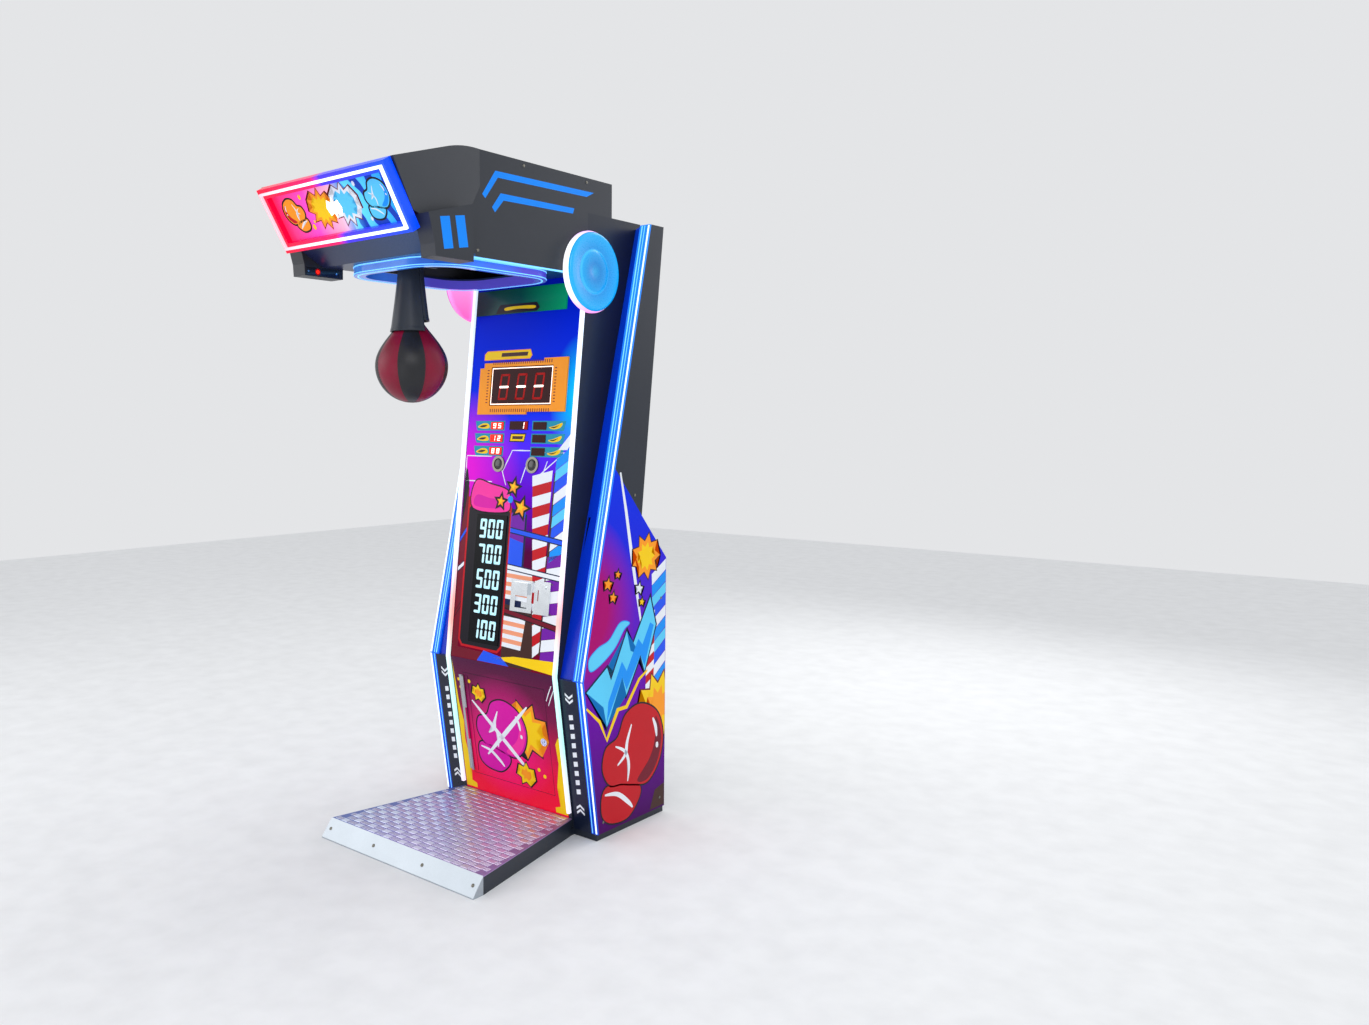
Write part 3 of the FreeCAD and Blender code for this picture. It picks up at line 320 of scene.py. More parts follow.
def door_print():
    """Dark maroon above, bright red below, with a magenta bloom in the middle."""
    make = Nodes("door_print")
    tall = make.ramp(make.along("Z", 0.02, 0.57),
                     [(0.0, (0.85, 0.0, 0.02)), (0.35, (0.66, 0.0, 0.04)), (0.7, (0.16, 0.0, 0.045)),
                      (1.0, (0.06, 0.0, 0.035))])
    bloom = make.spread(make.distance((-0.02, -0.05, 0.30), (1, 0, 1)), 0.05, 0.24, 0.6, 0.0)
    printed = make.front_only(make.mix(bloom, tall, (0.90, 0.0, 0.30)))
    return make.finish(printed, grain=600, bump=0.04, glow=0.25, shine=0.2)


def marquee_print():
    """Magenta and orange on the left, cyan streaks on blue on the right, lit from behind."""
    make = Nodes("marquee_print")
    side = make.ramp(make.along("X", -0.27, 0.27),
                     [(0.0, (0.85, 0.02, 0.10)), (0.28, (0.95, 0.05, 0.45)), (0.5, (0.85, 0.35, 0.45)),
                      (0.62, (0.10, 0.55, 0.85)), (1.0, (0.0, 0.25, 0.80))])
    wave = make.add("ShaderNodeTexWave", wave_type="BANDS", bands_direction="DIAGONAL")
    wave.inputs["Scale"].default_value = 9
    wave.inputs["Distortion"].default_value = 4
    make.link(make.place, wave.inputs["Vector"])
    streaks = make.multiply(make.spread(wave.outputs["Fac"], 0.45, 0.60), make.along("X", 0.0, 0.10))
    printed = make.mix(streaks, side, (0.0, 0.03, 0.30))
    return make.finish(printed, rough=0.25, vary=0.03, grain=600, bump=0.02, glow=0.7, shine=0.2)


def lamp_ring():
    """The lit ring round each lens: white with magenta ends on the right lamp, pink on the left one."""
    make = Nodes("lamp_ring_glow")
    height = make.along("Z", 1.80, 2.08)
    right = make.ramp(height, [(0.0, (0.95, 0.30, 0.75)), (0.22, (0.95, 0.92, 1.0)),
                               (0.8, (0.92, 0.95, 1.0)), (1.0, (0.75, 0.35, 1.0))])
    pink = make.ramp(height, [(0.0, (0.90, 0.10, 0.42)), (0.5, (0.95, 0.32, 0.72)),
                              (1.0, (0.70, 0.20, 0.95))])
    left = make.along("X", -0.05, 0.05, 1.0, 0.0)
    return make.finish(make.mix(left, right, pink), vary=0.03, grain=300, bump=0.03, glow=0.85, coat=0.1,
                       shine=0.4)


def lamp_lens():
    """A lit lens: cyan on the right lamp, pink on the left one, in rings round the lamp's middle."""
    make = Nodes("lamp_lens")
    away = make.distance((0, LAMP[0] * MM, LAMP[1] * MM), (0, 1, 1))
    rings = [(0.0, (0.02, 0.36, 0.70)), (0.20, (0.0, 0.22, 0.60)), (0.48, (0.0, 0.34, 0.76)),
             (0.53, (0.04, 0.50, 0.90)), (0.58, (0.0, 0.28, 0.70)), (1.0, (0.0, 0.42, 0.86))]
    blue = make.ramp(make.spread(away, 0.0, 0.135), rings)
    pink = make.ramp(make.spread(away, 0.0, 0.135),
                     [(s, (0.25 + c[2] * 0.6, c[1] * 0.30, c[2] * 0.75)) for s, c in rings])
    left = make.along("X", -0.05, 0.05, 1.0, 0.0)
    return make.finish(make.mix(left, blue, pink), rough=0.28, vary=0.03, grain=300, bump=0.03, glow=0.28,
                       coat=0.2)


def leather(name, color):
    """Grained leather: small cells in the bump and slow changes of colour."""
    make = Nodes(name)
    cells = make.add("ShaderNodeTexVoronoi")
    cells.inputs["Scale"].default_value = 420
    make.link(make.place, cells.inputs["Vector"])
    slow = make.spread(make.noise(14, 4.0), 0.35, 0.7, 0.0, 0.5)
    make.finish(make.mix(slow, color, tuple(c * 0.55 for c in color)), rough=0.38, vary=0.18, grain=700,
                shine=0.35)
    make.bump(cells.outputs["Distance"], 0.35, 0.0005)
    return make.mat


def add_faded_looks(pal):
    """Looks whose colour changes along the machine, most of them lit."""
    pal["trim"] = fade("trim_acrylic", "Z", 0.02, 2.1, [(0.0, (0.0, 0.04, 0.45)), (0.3, (0.0, 0.12, 0.85)),
                                                        (1.0, (0.02, 0.25, 1.0))], rough=0.2, glow=0.4)
    pal["led"] = surface("led_white", (0.70, 0.86, 1.0), rough=0.3, vary=0.05, glow=1.1)
    pal["led_blue"] = surface("led_blue", (0.16, 0.52, 1.0), rough=0.3, vary=0.05, glow=1.1)
    pal["tube"] = fade("tube_silicone", "Z", 0.05, 1.93,
                       [(0.0, (0.90, 0.55, 0.80)), (0.2, (0.42, 0.86, 0.80)), (0.32, (0.50, 0.90, 0.86)),
                        (0.42, (0.92, 0.36, 0.32)), (0.55, (0.86, 0.82, 0.96)), (1.0, (0.72, 0.86, 0.98))],
                       rough=0.35, glow=0.9, soft=0.1)
    pal["neon"] = fade("marquee_tube", "X", -0.30, 0.30, [(0.0, (1.0, 0.30, 0.35)),
                                                          (0.42, (1.0, 0.72, 0.75)),
                                                          (0.52, (0.88, 0.90, 1.0)),
                                                          (1.0, (0.75, 0.88, 1.0))],
                       rough=0.3, glow=1.5)
    # The marquee frame is no lamp: its glow, red on the left and blue on the right, is painted light from
    # the lit marquee and its tube.
    pal["marquee_rim_painted_glow"] = fade("marquee_rim_painted_glow", "X", -0.30, 0.30,
                              [(0.0, (0.80, 0.0, 0.03)), (0.45, (0.65, 0.0, 0.12)),
                               (0.52, (0.05, 0.02, 0.75)),
                               (1.0, (0.0, 0.06, 0.95))], rough=0.3, glow=0.55)
    pal["ring"] = fade("ring_acrylic", "Y", -0.60, -0.03, [(0.0, (0.15, 0.45, 0.95)),
                                                           (0.35, (0.02, 0.12, 0.60)),
                                                           (0.65, (0.05, 0.20, 0.85)),
                                                           (1.0, (0.10, 0.08, 0.60))],
                       rough=0.12, glow=0.35, soft=0.5)
    pal["under"] = fade("underside_glow", "X", -0.27, 0.27, [(0.0, (0.012, 0.015, 0.06)),
                                                             (0.5, (0.008, 0.03, 0.10)),
                                                             (1.0, (0.01, 0.05, 0.16))], rough=0.3,
                        glow=0.10)
    pal["sign"] = fade("sign_green", "X", -0.25, 0.19, [(0.0, (0.0, 0.03, 0.03)), (0.5, (0.0, 0.06, 0.05)),
                                                        (1.0, (0.0, 0.30, 0.12))], glow=0.25, shine=0.2)
    pal["orange"] = fade("bezel_orange", "Z", 1.45, 1.66, [(0.0, (0.95, 0.15, 0.0)),
                                                           (1.0, (0.72, 0.20, 0.0))],
                         glow=0.12, shine=0.25)


def add_plain_looks(pal):
    """Boards, windows, metals, plastics, rubber, leather and thread."""
    pal["shell"] = surface("moulded_shell", (0.028, 0.033, 0.044), rough=0.42, vary=0.15, grain=900,
                           bump=0.25, shine=0.35)
    pal["board"] = surface("laminate_board", BOARD, rough=0.38, vary=0.2, grain=500, bump=0.2, shine=0.35)
    pal["window"] = surface("window_smoked", (0.035, 0.0, 0.002), rough=0.25, vary=0.1, shine=0.12)
    pal["strip"] = surface("strip_black", (0.004, 0.005, 0.007), rough=0.25, vary=0.2, shine=0.12)
    pal["steel"] = surface("frame_steel", (0.045, 0.047, 0.052), rough=0.5, grain=1200, bump=0.4)
    pal["machined"] = surface("machined_steel", (0.52, 0.53, 0.55), rough=0.3, metal=1.0, grain=160,
                              stretch=(1, 12, 1), bump=0.12)
    pal["chrome"] = surface("polished_metal", (0.80, 0.84, 0.88), rough=0.14, metal=1.0, vary=0.02,
                            grain=40, bump=0.01)
    pal["collar"] = surface("collar_metal", (0.22, 0.21, 0.18), rough=0.25, metal=1.0, vary=0.1, grain=200)
    pal["alu"] = surface("mill_aluminium", (0.50, 0.55, 0.60), rough=0.34, metal=0.85, grain=120,
                         stretch=(1, 18, 1), bump=0.1)
    # The tread plate is one aluminium sheet drawn in two looks: the raised pads light, and the ground
    # between them darker as painted shade. Both are tinted from blue to violet across the platform as
    # painted reflection of the machine's coloured lights.
    pal["tread"] = fade("tread_aluminium_painted_reflection", "X", -0.37, 0.37,
                        [(0.0, (0.62, 0.72, 0.88)), (0.5, (0.70, 0.70, 0.92)), (1.0, (0.80, 0.72, 0.90))],
                        rough=0.36, soft=0.25)
    pal["tread_painted_shade"] = fade("tread_ground_painted_shade", "X", -0.37, 0.37,
                            [(0.0, (0.10, 0.20, 0.46)), (0.5, (0.26, 0.22, 0.60)),
                             (1.0, (0.42, 0.28, 0.56))],
                            rough=0.50, soft=0.25)
    for word in ("tread", "tread_painted_shade"):
        pal[word].node_tree.nodes["Principled BSDF"].inputs["Metallic"].default_value = 0.8
    pal["plastic"] = surface("black_plastic", (0.010, 0.010, 0.012), rough=0.2, coat=0.5)
    pal["pcb"] = surface("solder_mask", (0.01, 0.14, 0.05), rough=0.4, grain=90, vary=0.3)
    pal["rubber"] = surface("rubber_black", (0.015, 0.015, 0.016), rough=0.8, grain=800, bump=0.5)
    pal["leather_dark"] = leather("leather_black", (0.018, 0.019, 0.023))
    pal["leather_red"] = leather("leather_crimson", (0.26, 0.002, 0.030))
    pal["leather_slate"] = leather("leather_slate", (0.022, 0.030, 0.045))
    pal["thread"] = surface("thread", (0.10, 0.02, 0.03), rough=0.7, grain=2000, bump=0.5)


def add_inks(pal):
    """Printing inks and the colours of lit figures."""
    inks = {"white": (0.80, 0.84, 0.90), "black": (0.006, 0.004, 0.010), "yellow": (0.92, 0.60, 0.0),
            "red": (0.52, 0.0, 0.008), "wine": (0.16, 0.0, 0.015), "pink": (0.90, 0.03, 0.35),
            "peach": (0.85, 0.32, 0.18),
            "cyan": (0.10, 0.60, 0.92), "blue": (0.01, 0.09, 0.85), "navy": (0.0, 0.008, 0.06),
            "violet": (0.16, 0.005, 0.36), "orange": (0.95, 0.32, 0.01), "magenta": (0.68, 0.0, 0.36),
            "teal": (0.0, 0.28, 0.42), "brown": (0.05, 0.015, 0.012), "sky": (0.0, 0.28, 0.90)}
    for word, color in inks.items():
        pal[word] = surface("ink_" + word, color, rough=0.32, vary=0.06, grain=700, bump=0.04, glow=0.12,
                            shine=0.2)
    pal["lit_red"] = surface("lit_red", (1.0, 0.02, 0.01), rough=0.3, vary=0.04, glow=1.0, shine=0.1)
    pal["dim_red"] = surface("dim_red", (0.30, 0.0, 0.0), rough=0.3, vary=0.08, glow=0.5, shine=0.1)
    pal["lit_warm"] = surface("lit_warm", (1.0, 0.72, 0.62), rough=0.3, vary=0.04, glow=2.0)
    pal["lit_pale"] = surface("lit_pale", (0.50, 0.80, 0.88), rough=0.3, vary=0.05, glow=0.45)
    pal["stripe"] = surface("stripe_vinyl", (0.0, 0.22, 0.85), rough=0.35, vary=0.05, glow=0.22, shine=0.2)


def make_palette():
    """Every named material."""
    pal = {"fin": fin_paint_painted_glow(), "lamp_ring": lamp_ring(), "lens": lamp_lens(), "score": score_print(),
           "side": side_print(), "door": door_print(), "marquee": marquee_print()}
    add_faded_looks(pal)
    add_plain_looks(pal)
    add_inks(pal)
    return pal


# ---------------------------------------------------------------- mesh tools
def new_piece(name, bm, mats, body="cabinet", slot=None, stands_for=(), smooth=False):
    """Turn a bmesh in metres into a finished piece that rides on one body."""
    bmesh.ops.recalc_face_normals(bm, faces=bm.faces)
    mesh = bpy.data.meshes.new(name)
    bm.to_mesh(mesh)
    bm.free()
    for mat in mats:
        mesh.materials.append(mat)
    for face in mesh.polygons:
        face.use_smooth = smooth
    piece = bpy.data.objects.new(name, mesh)
    bpy.context.collection.objects.link(piece)
    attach(piece, body)
    if stands_for:
        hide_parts(*stands_for)
    return piece


class Plane:
    """A flat face of the machine; at(across, up, out) in millimetres gives a point in metres."""

    def __init__(self, base, across, up, out):
        self.base, self.across, self.up, self.out = (Vector(v) for v in (base, across, up, out))

    def at(self, across, up, out=0.0):
        return (self.base + self.across * across + self.up * up + self.out * out) * MM


def leaning(foot, degrees, x=0.0):
    """A front face whose top leans back by some degrees, or forward if they are negative."""
    turn = math.radians(degrees)
    return Plane((x, *foot), (1, 0, 0), (0, math.sin(turn), math.cos(turn)),
                 (0, -math.cos(turn), math.sin(turn)))


def side_plane(x):
    """An upright face across X; across runs along +Y and up along +Z."""
    return Plane((x, 0, 0), (0, 1, 0), (0, 0, 1), (1 if x > 0 else -1, 0, 0))


UPPER = leaning(KNEE, UPPER_LEAN)
LOWER = leaning(FOOT, -LOWER_LEAN)
SIGN_FACE = leaning(MARQUEE_FOOT, -MARQUEE_LEAN)
FIN_UPPER = leaning(FIN_KNEE, math.degrees(math.atan2(FIN_TOP[0] - FIN_KNEE[0], FIN_TOP[1] - FIN_KNEE[1])))
FIN_LOWER = leaning(FIN_FOOT, -math.degrees(math.atan2(FIN_FOOT[0] - FIN_KNEE[0],
                                                       FIN_KNEE[1] - FIN_FOOT[1])))
BACK = Plane((0, REAR, 0), (-1, 0, 0), (0, 0, 1), (0, 1, 0))
FILM = 0.12
LAYER = 0.06


def bridge(bm, first, second, index=0):
    """Faces between two closed rings of corners; a ring of one corner is fanned out to the other."""
    count = max(len(first), len(second))
    faces = []
    for k in range(count):
        m = (k + 1) % count
        corners = (first[k % len(first)], first[m % len(first)], second[m % len(second)],
                   second[k % len(second)])
        face = bm.faces.new(list(dict.fromkeys(corners)))
        face.material_index = index
        faces.append(face)
    return faces


def rectangle(left, right, low, high):
    return [(left, low), (right, low), (right, high), (left, high)]


def add_prism(bm, plane, outline, low, high, index=0):
    """A closed slab on a face, from an outline of (across, up) points."""
    rings = [[bm.verts.new(plane.at(a, u, level)) for a, u in outline] for level in (low, high)]
    caps = [bm.faces.new(rings[0][::-1]), bm.faces.new(rings[1])]
    for cap in caps:
        cap.material_index = index
    bridge(bm, *rings, index)
    if len(outline) > 4:
        bmesh.ops.triangulate(bm, faces=caps)


class Print:
    """Thin film cut to shapes and laid in layers on one face, made into one piece at the end."""

    def __init__(self, name, plane, pal, floor=0.0, clip=None):
        self.name, self.plane, self.pal, self.floor, self.clip = name, plane, pal, floor, clip
        self.bm, self.inks = bmesh.new(), []

    def shape(self, ink, outline, layer=0):
        """Lay one outline in one ink; higher layers stand further out."""
        if self.clip:
            outline = clipped(outline, self.clip)
            if len(outline) < 3:
                return
        if ink not in self.inks:
            self.inks.append(ink)
        low = self.floor + FILM
        add_prism(self.bm, self.plane, outline, low, low + LAYER * (layer + 1), self.inks.index(ink))

    def outlined(self, ink, outline, edge="black", border=5.0, layer=0):
        """A shape with a border of another ink one layer below it."""
        self.shape(edge, widened(outline, border), layer)
        self.shape(ink, outline, layer + 1)

    def stroke(self, ink, points, width, layer=0):
        """A tapered brush line through points: as wide as width in its middle."""
        left, right = [], []
        last = len(points) - 1
        for i, (a, u) in enumerate(points):
            before, after = points[max(i - 1, 0)], points[min(i + 1, last)]
            run, rise = after[0] - before[0], after[1] - before[1]
            size = math.hypot(run, rise) or 1.0
            wide = width / 2 * (0.25 + 0.75 * math.sin(math.pi * (i + 0.5) / (last + 1)))
            left.append((a - rise / size * wide, u + run / size * wide))
            right.append((a + rise / size * wide, u - run / size * wide))
        self.shape(ink, left + right[::-1], layer)

    def bands(self, inks, left, right, layer=0):
        """Stripes between two edges, each edge a list of (across, up) stops from bottom to top."""
        for i in range(len(left) - 1):
            self.shape(inks[i % len(inks)], [left[i], right[i], right[i + 1], left[i + 1]], layer)

    def done(self, body="cabinet", slot=None):
        """Make the piece from all the shapes laid so far."""
        return new_piece(self.name, self.bm, [self.pal[ink] for ink in self.inks], body, slot)


def widened(outline, border):
    """An outline moved outwards by a border, with its sharp corners kept short."""
    count = len(outline)
    area = sum(outline[i - 1][0] * outline[i][1] - outline[i][0] * outline[i - 1][1] for i in range(count))
    sign = 1 if area > 0 else -1
    result = []
    for i in range(count):
        before, here, after = (Vector(outline[k % count]) for k in (i - 1, i, i + 1))
        first, second = (here - before).normalized(), (after - here).normalized()
        normals = [Vector((v.y, -v.x)) * sign for v in (first, second)]
        middle = normals[0] + normals[1]
        if middle.length < 0.2:
            middle = normals[0]
        middle.normalize()
        result.append(tuple(here + middle * border / max(middle.dot(normals[0]), 0.45)))
    return result


def clipped(outline, window):
    """Cut an outline back to a window of (low across, high across, low up, high up)."""
    for axis, limit, keep_above in ((0, window[0], True), (0, window[1], False), (1, window[2], True),
                                    (1, window[3], False)):
        kept = []
        for i, point in enumerate(outline):
            other = outline[i - 1]
            inside, was = [(p[axis] >= limit) == keep_above or p[axis] == limit for p in (point, other)]
            if inside != was:
                share = (limit - other[axis]) / (point[axis] - other[axis])
                kept.append(tuple(other[k] + (point[k] - other[k]) * share for k in (0, 1)))
            if inside:
                kept.append(point)
        outline = kept
        if len(outline) < 3:
            return []
    return outline


def star(a, u, radius, spikes=5, inner=0.45, turn=0.2):
    """A star's outline; inner is how far its notches lie out, as a share of the radius."""
    points = []
    for i in range(2 * spikes):
        reach = radius * (inner if i % 2 else 1)
        angle = turn + math.pi * i / spikes
        points.append((a + reach * math.sin(angle), u + reach * math.cos(angle)))
    return points


def disc(a, u, radius, tall=1.0, steps=32):
    """A round outline, stretched upwards by a share."""
    angles = [2 * math.pi * i / steps for i in range(steps)]
    return [(a + radius * math.cos(angle), u + radius * tall * math.sin(angle)) for angle in angles]


def spline(a, b, c, d, t):
    """The value between b and c on a smooth line through four values."""
    square = (2 * a - 5 * b + 4 * c - d) * t * t
    return 0.5 * (2 * b + (c - a) * t + square + (3 * b - a - 3 * c + d) * t ** 3)


def curve(points, closed=True, steps=6):
    """A smooth line through points."""
    count = len(points)
    result = []
    for i in range(count if closed else count - 1):
        picks = [(i + k) % count if closed else min(max(i + k, 0), count - 1) for k in (-1, 0, 1, 2)]
        for step in range(steps):
            result.append(tuple(spline(*(points[p][k] for p in picks), step / steps) for k in (0, 1)))
    return result if closed else result + [points[-1]]


def turned(name, axis_base, axis, profile, mats, body="cabinet", steps=72, **facts):
    """A turned piece: profile is (radius, along) in millimetres, round a line."""
    bm = bmesh.new()
    axis = Vector(axis).normalized()
    side = axis.orthogonal().normalized()
    other = axis.cross(side)
    rows = []
    for radius, along in profile:
        base = Vector(axis_base) + axis * along
        angles = [2 * math.pi * k / steps for k in range(steps)] if radius else [0.0]
        rows.append([bm.verts.new((base + (side * math.cos(a) + other * math.sin(a)) * radius) * MM)
                     for a in angles])
    for first, second in zip(rows, rows[1:]):
        bridge(bm, first, second)
    return new_piece(name, bm, mats, body, smooth=True, **facts)


# ---------------------------------------------------------------- machine parts
NODE_LOOKS = {
    "shell": ["hood_nose", "hood_sides", "hood_top_panel", "sensor_pods"],
    "under": ["hood_floor_panel"],
    "board": ["base_board", "column_sides", "column_top_panel", "platform_frame", "rear_lower_panel",
              "rear_upper_panel", "service_door", "side_upper_panels"],
    "fin": ["fin_frames"], "trim": ["fin_light_trims"], "tube": ["edge_light_tubes"],
    "neon": ["marquee_light_tube"], "marquee_rim_painted_glow": ["marquee_frame"], "marquee": ["marquee_panel"],
    "ring": ["ring_lamp"], "score": ["score_panel"], "side": ["side_art_panels"],
    "door": ["lower_panel", "cash_door"], "sign": ["top_sign"], "window": ["display_windows"],
    "strip": ["score_strip"], "steel": ["cash_box", "frame_masts", "hood_frame", "punch_arm"],
    "machined": ["door_hinges", "latch_hook", "latch_solenoid", "pivot_bearings", "pivot_shaft",
                 "power_supply", "solenoid_plunger"],
    "collar": ["button_bezels"], "orange": ["display_bezel"],
    "chrome": ["cash_door_lock", "coin_plate", "coin_reject_button", "return_cup", "return_flap",
               "service_door_lock"],
    "alu": ["front_ramp"],
    "plastic": ["coin_mechanism", "digit_module", "power_inlet", "push_button_left", "push_button_right"],
    "pcb": ["control_board"],
}


def paint_nodes(pal):
    """Give every CAD node that is shown as it is its look."""
    for look, names in NODE_LOOKS.items():
        for name in names:
            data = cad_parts[name].data
            data.materials.clear()
            data.materials.append(pal[look])


def ball_radius(z):
    """The ball's radius at a height: round below its middle, drawn in to the neck above."""
    rise = z - BALL_Z
    if rise < 0:
        return math.sqrt(max(BALL_R ** 2 - rise ** 2, 0))
    share = min(rise / (BALL_TOP - BALL_Z), 1)
    return BALL_NECK + (BALL_R - BALL_NECK) * math.cos(math.pi / 2 * share) ** 1.12


def make_ball(pal):
    """A pear-shaped leather ball of eight panels that swell between sunken seams."""
    per_panel, rows, ease = 10, 56, 0.82
    count = BALL_PANELS * per_panel
    bm = bmesh.new()
    rings = []
    bottom = BALL_Z - BALL_R
    for i in range(rows + 1):
        share = (1 - math.cos(math.pi * (i / rows) * ease)) / (1 - math.cos(math.pi * ease))
        z = bottom + (BALL_TOP - bottom) * share
        radius = ball_radius(z)
        ring = []
        for k in range(count if radius > 1 else 1):
            groove = 1 - abs(math.sin(math.pi * ((k % per_panel) / per_panel)))
            flat = radius - 1.0 - 2.2 * groove ** 3 * min(radius / 60, 1) if radius > 1 else 0.0
            angle = 2 * math.pi * (k / count) + BALL_TURN
            ring.append(bm.verts.new((flat * math.cos(angle) * MM, (PIVOT[0] + flat * math.sin(angle)) * MM,
                                      z * MM)))
        rings.append(ring)
    for low, high in zip(rings, rings[1:]):
        for k, face in enumerate(bridge(bm, low, high)):
            face.material_index = (k // per_panel) % 2
    bm.faces.new(rings[-1]).material_index = 0
    ball = new_piece("punch_ball_leather", bm, [pal["leather_dark"], pal["leather_red"]], "punch_arm",
                     "ball_leather", ("punch_ball",), smooth=True)


def add_stitch(bm, centre, along, wide, out):
    """One stitch: a thread pointed at both ends."""
    tips = [centre + along * 2.2, centre - along * 2.2]
    belt = [centre + wide * 0.5, centre + out * 0.7, centre - wide * 0.5, centre - out * 0.5]
    ends = [bm.verts.new(v * MM) for v in tips]
    ring = [bm.verts.new(v * MM) for v in belt]
    for j in range(4):
        bm.faces.new((ends[0], ring[j], ring[(j + 1) % 4]))
        bm.faces.new((ends[1], ring[(j + 1) % 4], ring[j]))


def make_stitches(pal):
    """Rows of stitches on both sides of each seam, up to a little above the ball's middle."""
    bm = bmesh.new()
    for seam in range(BALL_PANELS):
        angle = 2 * math.pi * seam / BALL_PANELS + BALL_TURN
        for step in range(22):
            lean = math.radians(-62 + step * 3.9)
            rise, flat = math.sin(lean), math.cos(lean)
            for side in (-1, 1):
                turn = angle + side * math.radians(2.2) / max(flat, 0.3)
                out = Vector((flat * math.cos(turn), flat * math.sin(turn), rise))
                along = Vector((-rise * math.cos(turn), -rise * math.sin(turn), flat))
                centre = Vector((0, PIVOT[0], BALL_Z)) + out * (BALL_R - 1.5 + max(rise, 0))
                add_stitch(bm, centre, along, out.cross(along), out)
    new_piece("punch_ball_stitches", bm, [pal["thread"]], "punch_arm", "ball_leather")


def make_ball_patch(pal):
    """The round patch that closes the bottom of the ball."""
    patch = turned("punch_ball_patch", (0, PIVOT[0], BALL_Z - BALL_R), (0, 0, 1),
                   [(0, 0.4), (20, 1.6), (27, 3.4), (28, 5.2), (0, 5.2)], [pal["leather_dark"]],
                   "punch_arm", slot="ball_leather")


def make_sleeves(pal):
    """Two leather half sleeves round the arm: folded, flared and hemmed, the front one the longer."""
    for word, facing, low, grow in (("front", -1, 217, 26), ("rear", 1, 183, 18)):
        rows, cols = 44, 48
        bm = bmesh.new()
        skins = []
        for skin in (0, 1):
            grid = []
            for i in range(rows + 1):
                down = i / rows
                z = PIVOT[1] - 20 - down * (low - 20)
                line = []
                for k in range(cols + 1):
                    share = k / cols
                    angle = math.pi * (share * 0.985 + 0.0075)
                    fold = math.sin(angle * 5 + 0.6) * 1.3 * down + math.sin(angle * 11) * 0.35 * down
                    hem = 1.1 if down > 0.95 else 0.0
                    radius = 42 + grow * down ** 1.15 + fold - 0.9 + (hem - 1.0 if skin == 0 else -3.4)
                    x = radius * math.cos(angle)
                    y = max(radius * math.sin(angle), 0.4)
                    line.append(bm.verts.new((x * MM, (PIVOT[0] + facing * y) * MM, z * MM)))
                grid.append(line)
            skins.append(grid)
        for grid in skins:
            for i in range(rows):
                for k in range(cols):
                    bm.faces.new((grid[i][k], grid[i][k + 1], grid[i + 1][k + 1], grid[i + 1][k]))
        outer, inner = skins
        for i in range(rows):
            for k in (0, cols):
                bm.faces.new((outer[i][k], outer[i + 1][k], inner[i + 1][k], inner[i][k]))
        for k in range(cols):
            for i in (0, rows):
                bm.faces.new((outer[i][k], outer[i][k + 1], inner[i][k + 1], inner[i][k]))
        piece = new_piece("sleeve_%s_leather" % word, bm, [pal["leather_slate"]], "punch_arm",
                          "sleeve_leather", ("sleeve_" + word,), smooth=True)


def make_bumper(pal):
    """A rubber block with rounded edges that stops the ball."""
    low, high = (Vector(v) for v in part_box("ball_bumper"))
    bm = bmesh.new()
    bmesh.ops.create_cube(bm, size=1.0)
    for vert in bm.verts:
        vert.co = Vector(tuple(low[k] + (vert.co[k] + 0.5) * (high[k] - low[k]) for k in range(3)))
    bmesh.ops.bevel(bm, geom=list(bm.edges), offset=0.006, segments=4, affect="EDGES", profile=0.6)
    piece = new_piece("ball_bumper_rubber", bm, [pal["rubber"]], "cabinet", "bumper_rubber",
                      ("ball_bumper",), smooth=True)


def make_lamps(pal):
    """Side lamps: a glowing ring with a rounded rim, and a stepped lens dished towards its middle."""
    rim = [(0, 0.4), (128, 0.4), (134, 1.5), (136.6, 6), (136.6, 14), (134.5, 19), (129, 21.6), (0, 21.6)]
    lens = [(0, 22.4), (130.5, 22.4), (131.5, 25), (129, 30), (124, 33.4), (119, 33.2), (74, 25.6),
            (71, 28.6),
            (66, 31.0), (58, 32.4), (44, 33.2), (28, 32.2), (12, 29.0), (0, 27.4)]
    for name, node, outline, mat, slot in (("side_lamp_rims", "side_lamp_rings", rim, "lamp_ring",
                                            "light_tube"),
                                           ("side_lamp_lenses", "side_lamp_dishes", lens, "lens",
                                            "lamp_lens")):
        bm = bmesh.new()
        for side, _ in SIDES:
            rows = []
            for radius, along in outline:
                x = side * (CABINET + along)
                spots = disc(*LAMP, radius, steps=96) if radius else [LAMP]
                rows.append([bm.verts.new(Vector((x, y, z)) * MM) for y, z in spots])
            for first, second in zip(rows, rows[1:]):
                bridge(bm, first, second)
        piece = new_piece(name, bm, [pal[mat]], "cabinet", slot, (node,), smooth=True)
        piece.data.set_sharp_from_angle(angle=math.radians(50))


def add_pad(bm, x, y, wide, deep, low, high):
    """A raised pad with sloping edges, standing on the plate."""
    corners = ((-1, -1), (1, -1), (1, 1), (-1, 1))
    rings = [[bm.verts.new(Vector((x + sx * (wide - inset), y + sy * (deep - inset), level)) * MM)
              for sx, sy in corners] for inset, level in ((0, low), (1.0, high))]
    for cap in (rings[0][::-1], rings[1]):
        bm.faces.new(cap).material_index = 1
    bridge(bm, *rings, 1)


